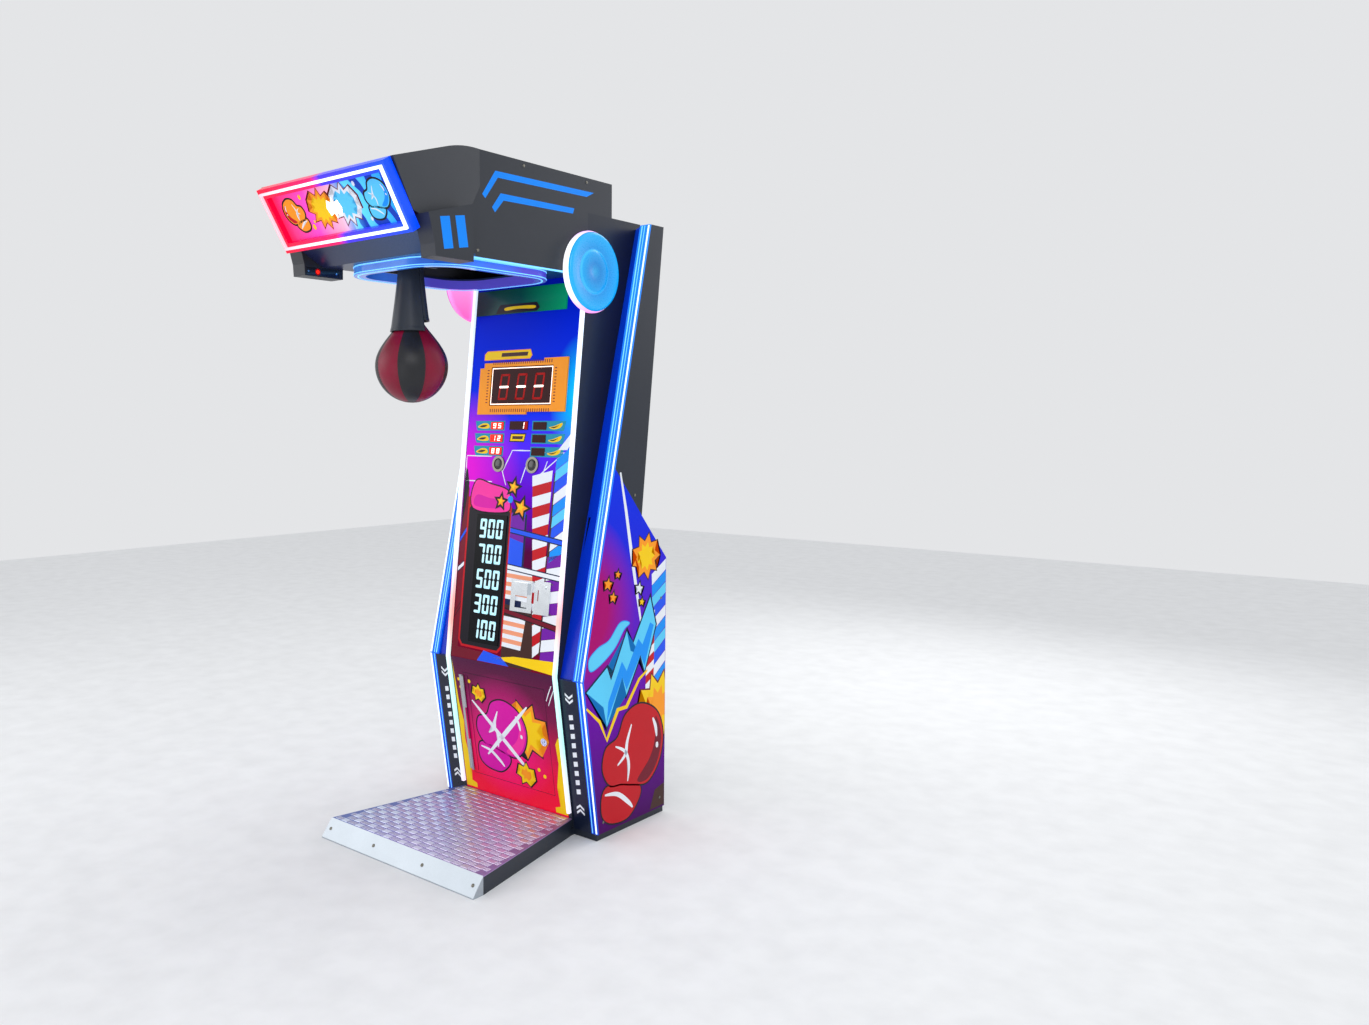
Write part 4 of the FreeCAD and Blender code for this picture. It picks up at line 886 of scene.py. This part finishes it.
def make_tread(pal):
    """An embossed plate: raised pads and groups of five bars take turns over the whole platform; the ground
    between them is drawn darker than the pads as painted shade.
    """
    low, high = (Vector(v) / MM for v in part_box("tread_plate"))
    top = high[2] - 1.2
    outline = [(-HALF, low[1]), (-CABINET, high[1]), (CABINET, high[1]), (HALF, low[1])]
    flat = Plane((0, 0, 0), (1, 0, 0), (0, 1, 0), (0, 0, 1))
    bm = bmesh.new()
    add_prism(bm, flat, outline, low[2], top)
    cell, bars = 37.0, 5
    cols, rows = int(2 * HALF // cell) + 1, int((high[1] - low[1] - 4) // (cell * 0.72))
    for row in range(rows):
        for col in range(-cols // 2, cols // 2 + 1):
            y = low[1] + 4 + (row + 0.5) * cell * 0.72
            x = (col + 0.5) * cell
            edge = HALF - (HALF - CABINET) * (y + cell / 2 - low[1]) / (high[1] - low[1])
            if (row + col) % 2:
                pads = [(x, 16.5, 11.0)]
            else:
                pads = [(x + (k - (bars - 1) / 2) * 7.0, 2.2, 10.0) for k in range(bars)]
            for mid, wide, deep in pads:
                if abs(mid) + wide < edge - 2:
                    add_pad(bm, mid, y, wide, deep, top, high[2] - 0.05)
    new_piece("tread_plate_embossed", bm, [pal["tread_painted_shade"], pal["tread"]], "cabinet", "tread",
              ("tread_plate",))


def add_screw(bm, plane, across, up, radius, lift):
    """One pan-head screw with a cross recess."""
    def ring(points, height):
        return [bm.verts.new(plane.at(a, u, height)) for a, u in points]
    steps = 16
    rings = [ring(disc(across, up, radius * share, steps=steps), lift + height)
             for share, height in ((1, 0), (1, 0.5), (0.85, 1.1), (0.5, 1.5))]
    bm.faces.new(rings[0][::-1])
    for first, second in zip(rings, rings[1:]):
        bridge(bm, first, second)
    cross = [disc(across, up, radius * (0.42 if k % 2 else 0.16), steps=steps)[k] for k in range(steps)]
    pit = ring(cross, lift + 1.0)
    bridge(bm, rings[3], pit)
    bm.faces.new(pit)


def make_screws(pal):
    """Screws on the ramp, the back, the coin plate, the hood's sides and the side panels."""
    slope = math.atan2(RAMP_RISE, RAMP_RUN)
    ramp = Plane((0, PLATFORM_FRONT, 4), (1, 0, 0), (0, math.cos(slope), math.sin(slope)),
                 (0, -math.sin(slope), math.cos(slope)))
    spots = [(ramp, x, 35, 6, 0.3) for x in (-350, -120, 120, 350)]
    spots += [(BACK, x, z, 6, 0.3) for x in (-245, 245) for z in (80, 330, 580, 840)]
    spots += [(UPPER, x, u, 2.6, 1.6) for x in (136, 216) for u in (206, 309)]
    hood = ((-455, 1950), (-250, 2235), (60, 2235))
    panel = ((30, 60), (360, 60), (360, 800), (200, 1180))
    for x, places in ((CABINET, hood), (HALF, panel)):
        spots += [(side_plane(side * x), y, z, 5, 0.3) for side in (-1, 1) for y, z in places]
    bm = bmesh.new()
    for spot in spots:
        add_screw(bm, *spot)
    new_piece("panel_screws", bm, [pal["collar"]], "cabinet", "bright_metal")


def make_led_lines(pal):
    """A white and a thin blue line along each fin, and a second blue line above the knee only."""
    upper_long = math.hypot(FIN_TOP[0] - FIN_KNEE[0], FIN_TOP[1] - FIN_KNEE[1])
    lower_long = math.hypot(FIN_KNEE[0] - FIN_FOOT[0], FIN_KNEE[1] - FIN_FOOT[1])
    for ink, name, lines in (("led", "fin_led_lines_white", ((365.5, 371.5), )),
                             ("led_blue", "fin_led_lines_blue", ((338.5, 342.5), (350.5, 353.0)))):
        bm = bmesh.new()
        for side, _ in SIDES:
            for first, last in lines:
                a, b = sorted((side * first, side * last))
                add_prism(bm, FIN_UPPER, rectangle(a, b, 4, upper_long - 3), 0.3, 1.2)
                if first > 345:
                    add_prism(bm, FIN_LOWER, rectangle(a, b, 4, lower_long - 1), 0.3, 1.2)
        new_piece(name, bm, [pal[ink]], "cabinet", "light_tube")


def make_hood_trim(pal):
    """Bent blue stripes on the hood's sides, and bars on the pods."""
    for side, word in SIDES:
        wall = side_plane(side * CABINET)
        stripes = Print("hood_stripes_" + word, wall, pal)
        stripes.shape("stripe", [(-378, 2198), (98, 2206), (60, 2187), (-367, 2179)])
        stripes.shape("stripe", [(-378, 2198), (-367, 2179), (-422, 2109), (-435, 2120)])
        stripes.shape("stripe", [(-355, 2134), (-4, 2140), (-11, 2122), (-342, 2114)])
        stripes.shape("stripe", [(-355, 2134), (-342, 2114), (-380, 2073), (-393, 2087)])
        stripes.done(slot="lamp_lens")
        bars = Print("pod_bars_" + word, side_plane(side * POD_OUTER), pal)
        for near in (-672, -613):
            bars.shape("stripe", [(near, 2012 + (near + 672) * 0.17),
                                  (near + 37, 2018 + (near + 672) * 0.17),
                                  (near + 51, 1929 + (near + 672) * 0.17),
                                  (near + 15, 1923 + (near + 672) * 0.17)])
        bars.done(slot="lamp_lens")


def make_sensor_covers(pal):
    """A black cover with a red lamp and two screws on the inner side of each pod."""
    for side, word in SIDES:
        plane = Plane((side * POD_INNER, 0, 0), (0, 1, 0), (0, 0, 1), (-side, 0, 0))
        cover = Print("pod_sensor_" + word, plane, pal)
        cover.shape("plastic", rectangle(-684, -556, 1903, 1928))
        cover.shape("dim_red", disc(-640, 1915, 10.5), 1)
        cover.shape("lit_red", disc(-640, 1915, 6.5), 4)
        for y in (-676, -566):
            cover.shape("chrome", disc(y, 1915, 3.2, steps=12), 2)
        cover.done(slot="plastic_black")


def make_hood_edge(pal):
    """A lit line along the lower edge of each side of the hood."""
    edge = bmesh.new()
    for side, _ in SIDES:
        add_prism(edge, side_plane(side * (CABINET - 7.5)), rectangle(-470, 60, 1925.5, 1930.6),
                  0.0, 6.0)
    new_piece("hood_edge_light", edge, [pal["led_blue"]], "cabinet", "light_tube")


def rounded_loop(half, front, rear, radius, steps=10):
    """Points round a rectangle with round corners."""
    points = []
    for cx, cy, start in ((half - radius, rear - radius, 0), (radius - half, rear - radius, 90),
                          (radius - half, front + radius, 180), (half - radius, front + radius, 270)):
        for k in range(steps + 1):
            a = math.radians(start + 90 * k / steps)
            points.append((cx + radius * math.cos(a), cy + radius * math.sin(a)))
    return points


def make_ring_lines(pal):
    """Bright lines that run round the ring lamp, on its wall and on its underside."""
    bm = bmesh.new()
    for grow, low, high, deep in ((38.3, 1925.5, 1929.0, 1.2), (38.3, 1903.5, 1906.0, 1.2),
                                  (22.0, 1900.0, 1900.7, 5.0)):
        loops = []
        for extra, z in ((grow, low), (grow + deep, low), (grow + deep, high), (grow, high)):
            points = rounded_loop(OPENING_HALF + extra, OPENING_FRONT - extra, OPENING_REAR + extra,
                                  OPENING_CORNER + extra)
            loops.append([bm.verts.new((x * MM, y * MM, z * MM)) for x, y in points])
        for i in range(4):
            bridge(bm, loops[i], loops[(i + 1) % 4])
    new_piece("ring_lamp_lines", bm, [pal["led_blue"]], "cabinet", "blue_trim")


SEGMENTS = {"0": "abcdef", "1": "bc", "2": "abged", "3": "abgcd", "5": "afgcd", "7": "abc", "8": "abcdefg",
            "9": "abcdfg", "-": "g"}


def segment_bars(mark, a, u, wide, tall, bar, lean=0.1):
    """The bars of one seven-segment figure whose lower left corner is (a, u)."""
    half, gap = tall / 2, bar * 0.12
    spots = {"a": (0, tall - bar, wide, bar), "d": (0, 0, wide, bar), "g": (0, half - bar / 2, wide, bar),
             "f": (0, half, bar, half), "e": (0, 0, bar, half), "b": (wide - bar, half, bar, half),
             "c": (wide - bar, 0, bar, half)}
    for key in SEGMENTS[mark]:
        x, y, w, h = spots[key]
        x, y, w, h = x + gap, y + gap, w - 2 * gap, h - 2 * gap
        cut = min(w, h) * 0.35
        ring = [(x + cut, y), (x + w - cut, y), (x + w, y + cut), (x + w, y + h - cut),
                (x + w - cut, y + h),
                (x + cut, y + h), (x, y + h - cut), (x, y + cut)]
        yield [(a + px + lean * py, u + py) for px, py in ring]


def make_display_figures(pal):
    """The three figures of the main display, each a lit dash over a dim eight, and its lit border."""
    lit = Print("display_figures", UPPER, pal, floor=3.0)
    for i in range(3):
        a, u = -112 + i * 84, 944
        for ring in segment_bars("8", a, u, 48, 96, 10):
            lit.shape("dim_red", ring)
        for ring in segment_bars("-", a, u, 48, 96, 10):
            lit.shape("lit_warm", ring, 1)
    x0, x1, y0, y1 = -146, 146, 929, 1061
    a0, a1, b0, b1 = -143, 143, 932, 1058
    lit.shape("lit_warm", [(x0, y0), (x1, y0), (a1, b0), (a0, b0)])
    lit.shape("lit_warm", [(x0, y1), (a0, b1), (a1, b1), (x1, y1)])
    lit.shape("lit_warm", [(x0, y0), (a0, b0), (a0, b1), (x0, y1)])
    lit.shape("lit_warm", [(x1, y0), (x1, y1), (a1, b1), (a1, b0)])
    lit.done(slot="dark_window")


def make_small_figures(pal):
    """Figures in the small windows."""
    small = Print("small_figures", UPPER, pal, floor=2.0)
    for row, marks in zip(ROWS, ("95", "12", "88")):
        small.shape("lit_red", rectangle(-134, -73, row + 1, row + 26))
        for i, mark in enumerate(marks):
            for ring in segment_bars(mark, -124 + i * 25, row + 4, 15, 19, 4):
                small.shape("lit_warm", ring, 1)
    for ring in segment_bars("1", 14, 842, 15, 24, 5):
        small.shape("lit_warm", ring)
    small.shape("dim_red", rectangle(30, 45, 840, 867))
    small.done(slot="dark_window")


def make_display_ticks(pal):
    """Short ticks round the main display."""
    ticks = Print("display_ticks", UPPER, pal, floor=6.0)
    for i in range(28):
        x = -142 + i * 10.4
        for u in (898, 1070):
            ticks.shape("wine", rectangle(x, x + 4, u + 3, u + 15))
    for i in range(12):
        u = 935 + i * 10.6
        for x in (-168, 158):
            ticks.shape("wine", rectangle(x, x + 9, u, u + 3.5))
    ticks.done(slot="orange_bezel")


def glove(print_, a, u, size, ink, shade, flip=1, layer=0):
    """A generic boxing glove: padded fist above, thumb in front and a cuff below."""
    def spot(points):
        return [(a + flip * x * size, u + y * size) for x, y in points]
    fist = curve(spot([(-0.05, -0.62), (0.45, -0.70), (0.85, -0.35), (0.98, 0.20), (0.75, 0.72),
                       (0.20, 0.98),
                       (-0.30, 0.85), (-0.55, 0.45), (-0.92, 0.30), (-1.02, -0.10), (-0.80, -0.45),
                       (-0.42, -0.52)]))
    cuff = curve(spot([(-0.92, -0.48), (-0.05, -0.55), (0.22, -0.78), (0.10, -1.05), (-0.25, -1.28),
                       (-0.80, -1.22), (-1.05, -0.95)]))
    print_.outlined(ink, cuff, border=6, layer=layer)
    print_.outlined(ink, fist, border=6, layer=layer + 1)
    print_.shape(shade, curve(spot([(0.10, -0.58), (0.45, -0.64), (0.80, -0.32), (0.92, 0.18), (0.72, 0.62),
                                    (0.70, 0.15), (0.52, -0.22)])), layer + 3)
    for line, width in (([(-0.62, 0.28), (-0.30, 0.10), (-0.18, -0.20), (-0.22, -0.52)], 0.08),
                        ([(-0.10, 0.62), (-0.24, 0.30), (-0.30, 0.05), (-0.55, -0.12)], 0.09),
                        ([(0.62, 0.60), (0.72, 0.40), (0.76, 0.18)], 0.09),
                        ([(0.77, 0.06), (0.78, -0.06)], 0.09),
                        ([(-0.95, -0.62), (-0.55, -0.70), (-0.20, -0.95), (-0.05, -1.10)], 0.10)):
        print_.stroke("white", curve(spot(line), closed=False, steps=5), width * size, layer + 4)


def draw_stage(art):
    """Wall, steps, posts and slanted stripes."""
    art.shape("wine", [(-251, 20), (-222, 20), (-222, 620), (-251, 690)])
    art.shape("black", [(-251, 470), (-235, 560), (-225, 640), (-238, 690), (-251, 700)], 1)
    art.shape("navy", [(-1, 60), (75, 60), (75, 540), (-1, 560)])
    art.shape("blue", [(-1, 330), (66, 300), (66, 560), (-1, 540)], 1)
    art.shape("violet", [(0, 455), (66, 440), (66, 530), (0, 545)], 2)
    art.shape("brown", [(-1, 2), (150, 2), (150, 200), (-1, 220)], 1)
    for low, high, left, right in ((240, 345, -30, 128), (70, 178, -14, 96)):
        step = (high - low) / 7
        art.bands(("white", "peach"), [(left + (high - low) * 0.02, low + i * step) for i in range(8)],
                  [(right - 6 + i * 2, low + i * step - 5) for i in range(8)], 2)
    art.shape("brown", [(175, 60), (186, 60), (198, 690), (186, 690)], 1)
    rise = 37.0
    for i in range(17):
        low = 48 + i * rise
        left = 148 - (low - 48) * 0.100
        art.shape("red" if i % 2 else "white", [(left, low), (176, low + 22), (178, low + 22 + rise),
                                                (left - 3.7, low + rise)], 3)
    for i in range(9):
        low = 400 + i * 40
        art.shape(("sky", "white", "blue", "cyan")[i % 4], [(190, low - 20), (251, low + 20),
                                                            (251, low + 58), (192, low + 18)], 2)
    for i in range(9):
        low = 40 + i * 41
        art.shape(("violet", "white")[i % 2], [(183, low - 8), (251, low + 6), (251, low + 46),
                                               (184, low + 32)], 2)
    art.shape("white", [(196, 770), (251, 830), (251, 792), (236, 770)], 3)


def draw_ropes_and_frame(art):
    """Ropes, the frame round the number strip, its padded top, stars and the shapes along the foot."""
    for rope, shade, left, right in (("blue", "navy", (430, 470), (482, 452)),
                                     ("white", "navy", (322, 345), (352, 330)),
                                     ("wine", "black", (155, 196), (196, 160))):
        for x0, x1, (u0, u1) in ((-251, -222, left), (-1, 251, right)):
            art.shape(shade, [(x0, u0 - 11), (x1, u1 - 11), (x1, u1 + 11), (x0, u0 + 11)], 4)
            art.shape(rope, [(x0, u0 - 7), (x1, u1 - 7), (x1, u1 + 7), (x0, u0 + 7)], 5)
    outer = [(-222, 66), (-205, 44), (-20, 40), (-1, 60), (-1, 560), (-16, 590), (-200, 606), (-222, 590)]
    art.shape("red", outer, 4)
    art.shape("black", [(-214, 70), (-200, 52), (-24, 49), (-8, 66), (-8, 545), (-24, 545), (-200, 562),
                        (-214, 550)], 5)
    art.outlined("pink", curve([(-196, 552), (-30, 545), (-14, 585), (-30, 622), (-110, 640), (-190, 650)]),
                 layer=5)
    art.shape("magenta", curve([(-186, 560), (-60, 556), (-40, 585), (-110, 590), (-180, 600)]), 7)
    for a, u, radius, turn in ((0, 634, 25, 0.2), (-57, 581, 21, 0.1), (43, 562, 33, 0.3)):
        art.outlined("orange", star(a, u, radius, turn=turn), border=8, layer=8)
        art.shape("yellow", star(a - 2, u + 3, radius * 0.55, turn=turn), 10)
    art.shape("sky", disc(-12, 590, 13), 8)
    art.shape("wine", [(-251, 2), (-100, 2), (-60, 34), (-251, 40)], 6)
    art.shape("blue", [(-118, 2), (40, 2), (0, 30), (-88, 42)], 7)
    art.shape("yellow", [(-40, 22), (251, 2), (251, 48), (60, 40)], 7)


def draw_tabs(art):
    """Tabs beside the small windows and thin lines between the controls."""
    for row in ROWS:
        art.shape("teal", [(-216, row + 31), (-66, row + 31), (-66, row - 4), (-204, row - 4),
                           (-211, row + 10)], 1)
        art.shape("yellow", curve([(-203, row + 9), (-176, row + 22), (-150, row + 20), (-144, row + 6),
                                   (-172, row + 3)]), 2)
        art.shape("brown", curve([(-195, row + 10), (-176, row + 16), (-155, row + 15), (-172, row + 8)]),
                  3)
        art.shape("teal", [(66, row + 31), (222, row + 31), (214, row - 4), (66, row - 4)], 1)
        art.shape("yellow", curve([(145, row + 8), (172, row + 14), (205, row + 24), (198, row + 8),
                                   (168, row + 2)]), 2)
        art.shape("brown", curve([(153, row + 9), (172, row + 11), (192, row + 16), (170, row + 6)]), 3)
    art.outlined("yellow", [(-35, 799), (30, 799), (36, 822), (-32, 822)], border=4, layer=1)
    art.shape("brown", [(-26, 805), (24, 805), (27, 816), (-24, 816)], 3)
    art.outlined("yellow", [(-192, 1094), (30, 1094), (38, 1104), (30, 1122), (-180, 1122), (-192, 1112)],
                 edge="orange", border=3, layer=1)
    art.shape("brown", [(-110, 1102), (18, 1102), (22, 1116), (-108, 1116)], 3)
    for a, b in (((-248, 742), (-120, 742)), ((-248, 742), (-248, 650)), ((-248, 650), (-110, 650)),
                 ((-100, 770), (-40, 640)), ((110, 760), (230, 760)), ((-20, 765), (70, 765)),
                 ((90, 660), (210, 750)),
                 ((-60, 690), (-20, 765)), ((30, 650), (60, 735)), ((120, 650), (150, 730))):
        art.stroke("white", [a, ((a[0] + b[0]) / 2, (a[1] + b[1]) / 2), b], 4.5, 1)


def make_score_art(pal):
    """Prints on the score face, in flat generic shapes."""
    art = Print("score_art", UPPER, pal, clip=(-251, 251, 2, 1355))
    draw_stage(art)
    draw_ropes_and_frame(art)
    draw_tabs(art)
    art.done(slot="score_print")


def make_score_numbers(pal):
    """The numbers 100 to 900 on the strip."""
    numbers = Print("score_numbers", UPPER, pal, floor=3.0)
    for row, word in enumerate(("100", "300", "500", "700", "900")):
        for i, mark in enumerate(word):
            for ring in segment_bars(mark, -152 + i * 41, 80 + row * 91, 35, 72, 13, lean=0.04):
                numbers.shape("lit_pale", ring)
    numbers.done(slot="strip_window")


def make_sign_tab(pal):
    """A dark tab with a yellow stroke on the green sign."""
    sign = Print("sign_tab", UPPER, pal, floor=6.0)
    sign.shape("black", [(-150, 1258), (52, 1258), (66, 1270), (50, 1290), (-130, 1290)])
    sign.shape("yellow", curve([(-100, 1268), (-40, 1271), (36, 1268), (40, 1278), (-30, 1281),
                                (-100, 1279)]), 1)
    sign.done(slot="sign_green")


def make_lower_art(pal):
    """Yellow borders and a few strokes on the lower panel."""
    border = Print("lower_art", LOWER, pal, clip=(-251, 251, 40, 563))
    for side, low, high in ((-1, 44, 545), (1, 44, 330)):
        steps = [(251, low), (196, low), (196, low + 18), (220, low + 26), (226, low + 90), (214, low + 98),
                 (232, low + 190),
                 (226, low + 260), (240, min(low + 330, high)), (251, high)]
        border.shape("yellow", [(side * a, u) for a, u in steps], 1)
    for a, u in ((-228, 470), (-222, 440), (228, 140), (232, 168)):
        border.shape("yellow", disc(a, u, 6, steps=12), 2)
    for a, u in ((205, 520), (214, 505)):
        border.stroke("white", [(a, u - 60), (a + 14, u - 30), (a + 30, u)], 4, 2)
    border.done(slot="door_print")


def make_door_art(pal):
    """A glove in front of a burst on the cash door; it turns with the door."""
    door = Print("door_art", LOWER, pal, clip=(-197, 197, 110, 499))
    door.shape("black", star(92, 330, 119, 9, 0.66, 0.4))
    door.shape("orange", star(92, 330, 110, 9, 0.64, 0.4), 1)
    door.shape("yellow", star(92, 330, 86, 9, 0.6, 0.4), 2)
    glove(door, -30, 300, 124, "magenta", "pink", layer=3)
    for a, b in (((-168, 398), (112, 150)), ((108, 420), (-116, 196))):
        mid = ((a[0] + b[0]) / 2, (a[1] + b[1]) / 2)
        door.stroke("white", curve([a, mid, b], closed=False, steps=8), 17, 9)
    for a, u, size in ((-130, 432, 34), (70, 158, 46)):
        door.outlined("yellow", star(a, u, size, 7, 0.62, 0.1), border=4, layer=9)
        door.shape("orange", star(a, u, size * 0.55, 7, 0.6, 0.1), 11)
    for a, u in ((135, 190), (160, 170), (-172, 470)):
        door.shape("yellow", disc(a, u, 7, steps=12), 9)
    door.done("cash_door", slot="door_print")


def grown(outline, middle=(115, 610), share=1.22):
    """An outline made larger about a point."""
    return [(middle[0] + share * (a - middle[0]), middle[1] + share * (u - middle[1])) for a, u in outline]


def make_side_art(pal):
    """Prints on both side panels: glove, burst, post, stripes, stars and a bright front line."""
    for side, word in SIDES:
        art = Print("side_art_" + word, side_plane(side * HALF), pal, clip=(-70, 388, 26, 1262))
        art.stroke("white", [(118, 1262), (150, 1130), (182, 980), (214, 840), (246, 700)], 17, 1)
        for i in range(10):
            low = 500 + i * 42
            left = 318 - i * 1.5
            art.shape(("sky", "white", "blue", "cyan")[i % 4],
                      [(left, low - 26), (388, low + 24), (388, low + 62), (left - 2, low + 14)], 1)
        for i in range(11):
            low = 420 + i * 30
            left = 268 + i * 0.6
            art.shape("red" if i % 2 else "white", [(left, low - 12), (left + 48, low + 12),
                                                    (left + 49, low + 42),
                                                   (left, low + 18)], 3)
        art.outlined("cyan", curve([(-48, 640), (0, 672), (60, 690), (120, 742), (172, 735), (140, 715),
                                    (90, 660),
                                    (20, 618), (-40, 600)]), edge="sky", border=3, layer=3)
        flash = [(-30, 545), (60, 600), (78, 560), (150, 690), (168, 630), (262, 775), (290, 690),
                 (236, 560), (216, 610),
                 (150, 505), (130, 560), (60, 430), (44, 490)]
        art.outlined("cyan", grown(flash), edge="navy", border=7, layer=5)
        art.shape("sky", grown([(60, 445), (130, 560), (150, 520), (216, 610), (236, 575), (280, 690),
                                (262, 700),
                                (225, 640), (205, 660), (150, 575), (128, 606), (66, 500)]), 7)
        art.stroke("yellow", grown([(-30, 500), (28, 452), (60, 392), (110, 470), (150, 470), (210, 540),
                                    (250, 560)]),
                   17, 7)
        art.shape("wine", star(345, 410, 135, 10, 0.65, 0.3), 5)
        art.shape("yellow", star(345, 410, 125, 10, 0.63, 0.3), 6)
        art.shape("orange", star(345, 405, 78, 10, 0.62, 0.3), 7)
        glove(art, 205, 262, 176, "red", "wine", layer=8)
        for a, u, size, ink in ((52, 884, 23, "orange"), (80, 835, 19, "orange"), (106, 912, 14, "orange"),
                                (228, 850, 22, "white"), (244, 800, 14, "yellow")):
            art.outlined(ink, star(a, u, size), border=5, layer=3)
        art.outlined("orange", star(268, 960, 82, 9, 0.66, 0.2), edge="brown", border=4, layer=3)
        art.shape("yellow", star(268, 960, 52, 9, 0.66, 0.2), 5)
        art.shape("brown", [(300, 28), (388, 28), (388, 110), (330, 96)], 1)
        art.done(slot="art_print")


def make_fin_marks(pal):
    """Chevrons and a plain row of dashes on the dark bands below the knee."""
    for side, word in SIDES:
        marks = Print("fin_marks_" + word, FIN_LOWER, pal)
        mid = side * FIN_BAND
        for base, turn in ((505, -1), (60, 1)):
            for u in (base, base + turn * 17):
                for arm in (-17, 17):
                    marks.shape("white", [(mid + arm, u), (mid, u + turn * 13), (mid, u + turn * 22),
                                          (mid + arm, u + turn * 9)])
        for i in range(9):
            u = 135 + i * 34
            marks.shape("white", [(mid - 9, u), (mid + 9, u + 4), (mid + 9, u + 22), (mid - 9, u + 18)])
        marks.done(slot="blue_trim")


def make_marquee_art(pal):
    """Two gloves, bursts and drops on the lit marquee, with no words."""
    art = Print("marquee_art", SIGN_FACE, pal, floor=-19.0, clip=(-268, 268, 32, 175))
    for a, size in ((-60, 62), (50, 66)):
        art.outlined("orange" if a < 0 else "white", star(a, 108, size, 11, 0.66, 0.15), edge="wine",
                     border=3)
        art.shape("yellow" if a < 0 else "cyan", star(a, 108, size * 0.72, 11, 0.66, 0.15), 2)
    art.shape("lit_warm", star(-5, 104, 34, 8, 0.5, 0.1), 4)
    glove(art, -196, 112, 46, "orange", "red", flip=-1, layer=4)
    glove(art, 196, 112, 50, "cyan", "sky", layer=4)
    for a, u, size in ((-140, 156, 6), (-132, 60, 7), (-120, 76, 4), (120, 160, 6), (136, 52, 5)):
        art.shape("yellow" if a < 0 else "white", disc(a, u, size, 1.3, 12), 4)
    art.done(slot="marquee_print")


def make_buttons(pal):
    """Black domed caps for the push buttons."""
    profile = [(0, -13.9), (19.9, -13.9), (19.9, 2.2), (19.0, 3.4), (16, 5.0), (10, 6.2), (0, 6.8)]
    for side, word in SIDES:
        base = UPPER.at(side * BUTTON_SPREAD, BUTTON_RISE) / MM
        turned("push_button_cap_" + word, base, UPPER.out, profile, [pal["plastic"]], "push_button_" + word,
               48, slot="plastic_black", stands_for=("push_button_" + word,))


def make_locks(pal):
    """Key slots on the two locks."""
    # BACK runs across towards -X; this lock's place is given towards +X
    rear = Plane((0, REAR, 0), (1, 0, 0), (0, 0, 1), (0, 1, 0))
    for name, plane, a, u in (("cash_door_lock", LOWER, 176, 304), ("service_door_lock", rear, 176, 455)):
        lift = max((Vector(corner) / MM - plane.base).dot(plane.out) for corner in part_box(name))
        keyhole = Print(name + "_keyway", plane, pal, floor=min(lift, 9.0) - 0.2)
        keyhole.shape("black", rectangle(a - 1.2, a + 1.2, u - 4.5, u + 4.5))
        keyhole.done(name, slot="bright_metal")


# ---------------------------------------------------------------- the whole machine
palette = make_palette()
make_camera()
make_lights()
make_floor()
paint_nodes(palette)
for make in (make_ball, make_stitches, make_ball_patch, make_sleeves, make_bumper, make_lamps, make_tread,
             make_screws, make_led_lines, make_hood_trim, make_sensor_covers, make_hood_edge,
             make_ring_lines,
             make_display_figures, make_small_figures, make_display_ticks, make_score_art,
             make_score_numbers, make_sign_tab, make_lower_art, make_door_art, make_side_art,
             make_fin_marks,
             make_marquee_art, make_buttons, make_locks):
    make(palette)
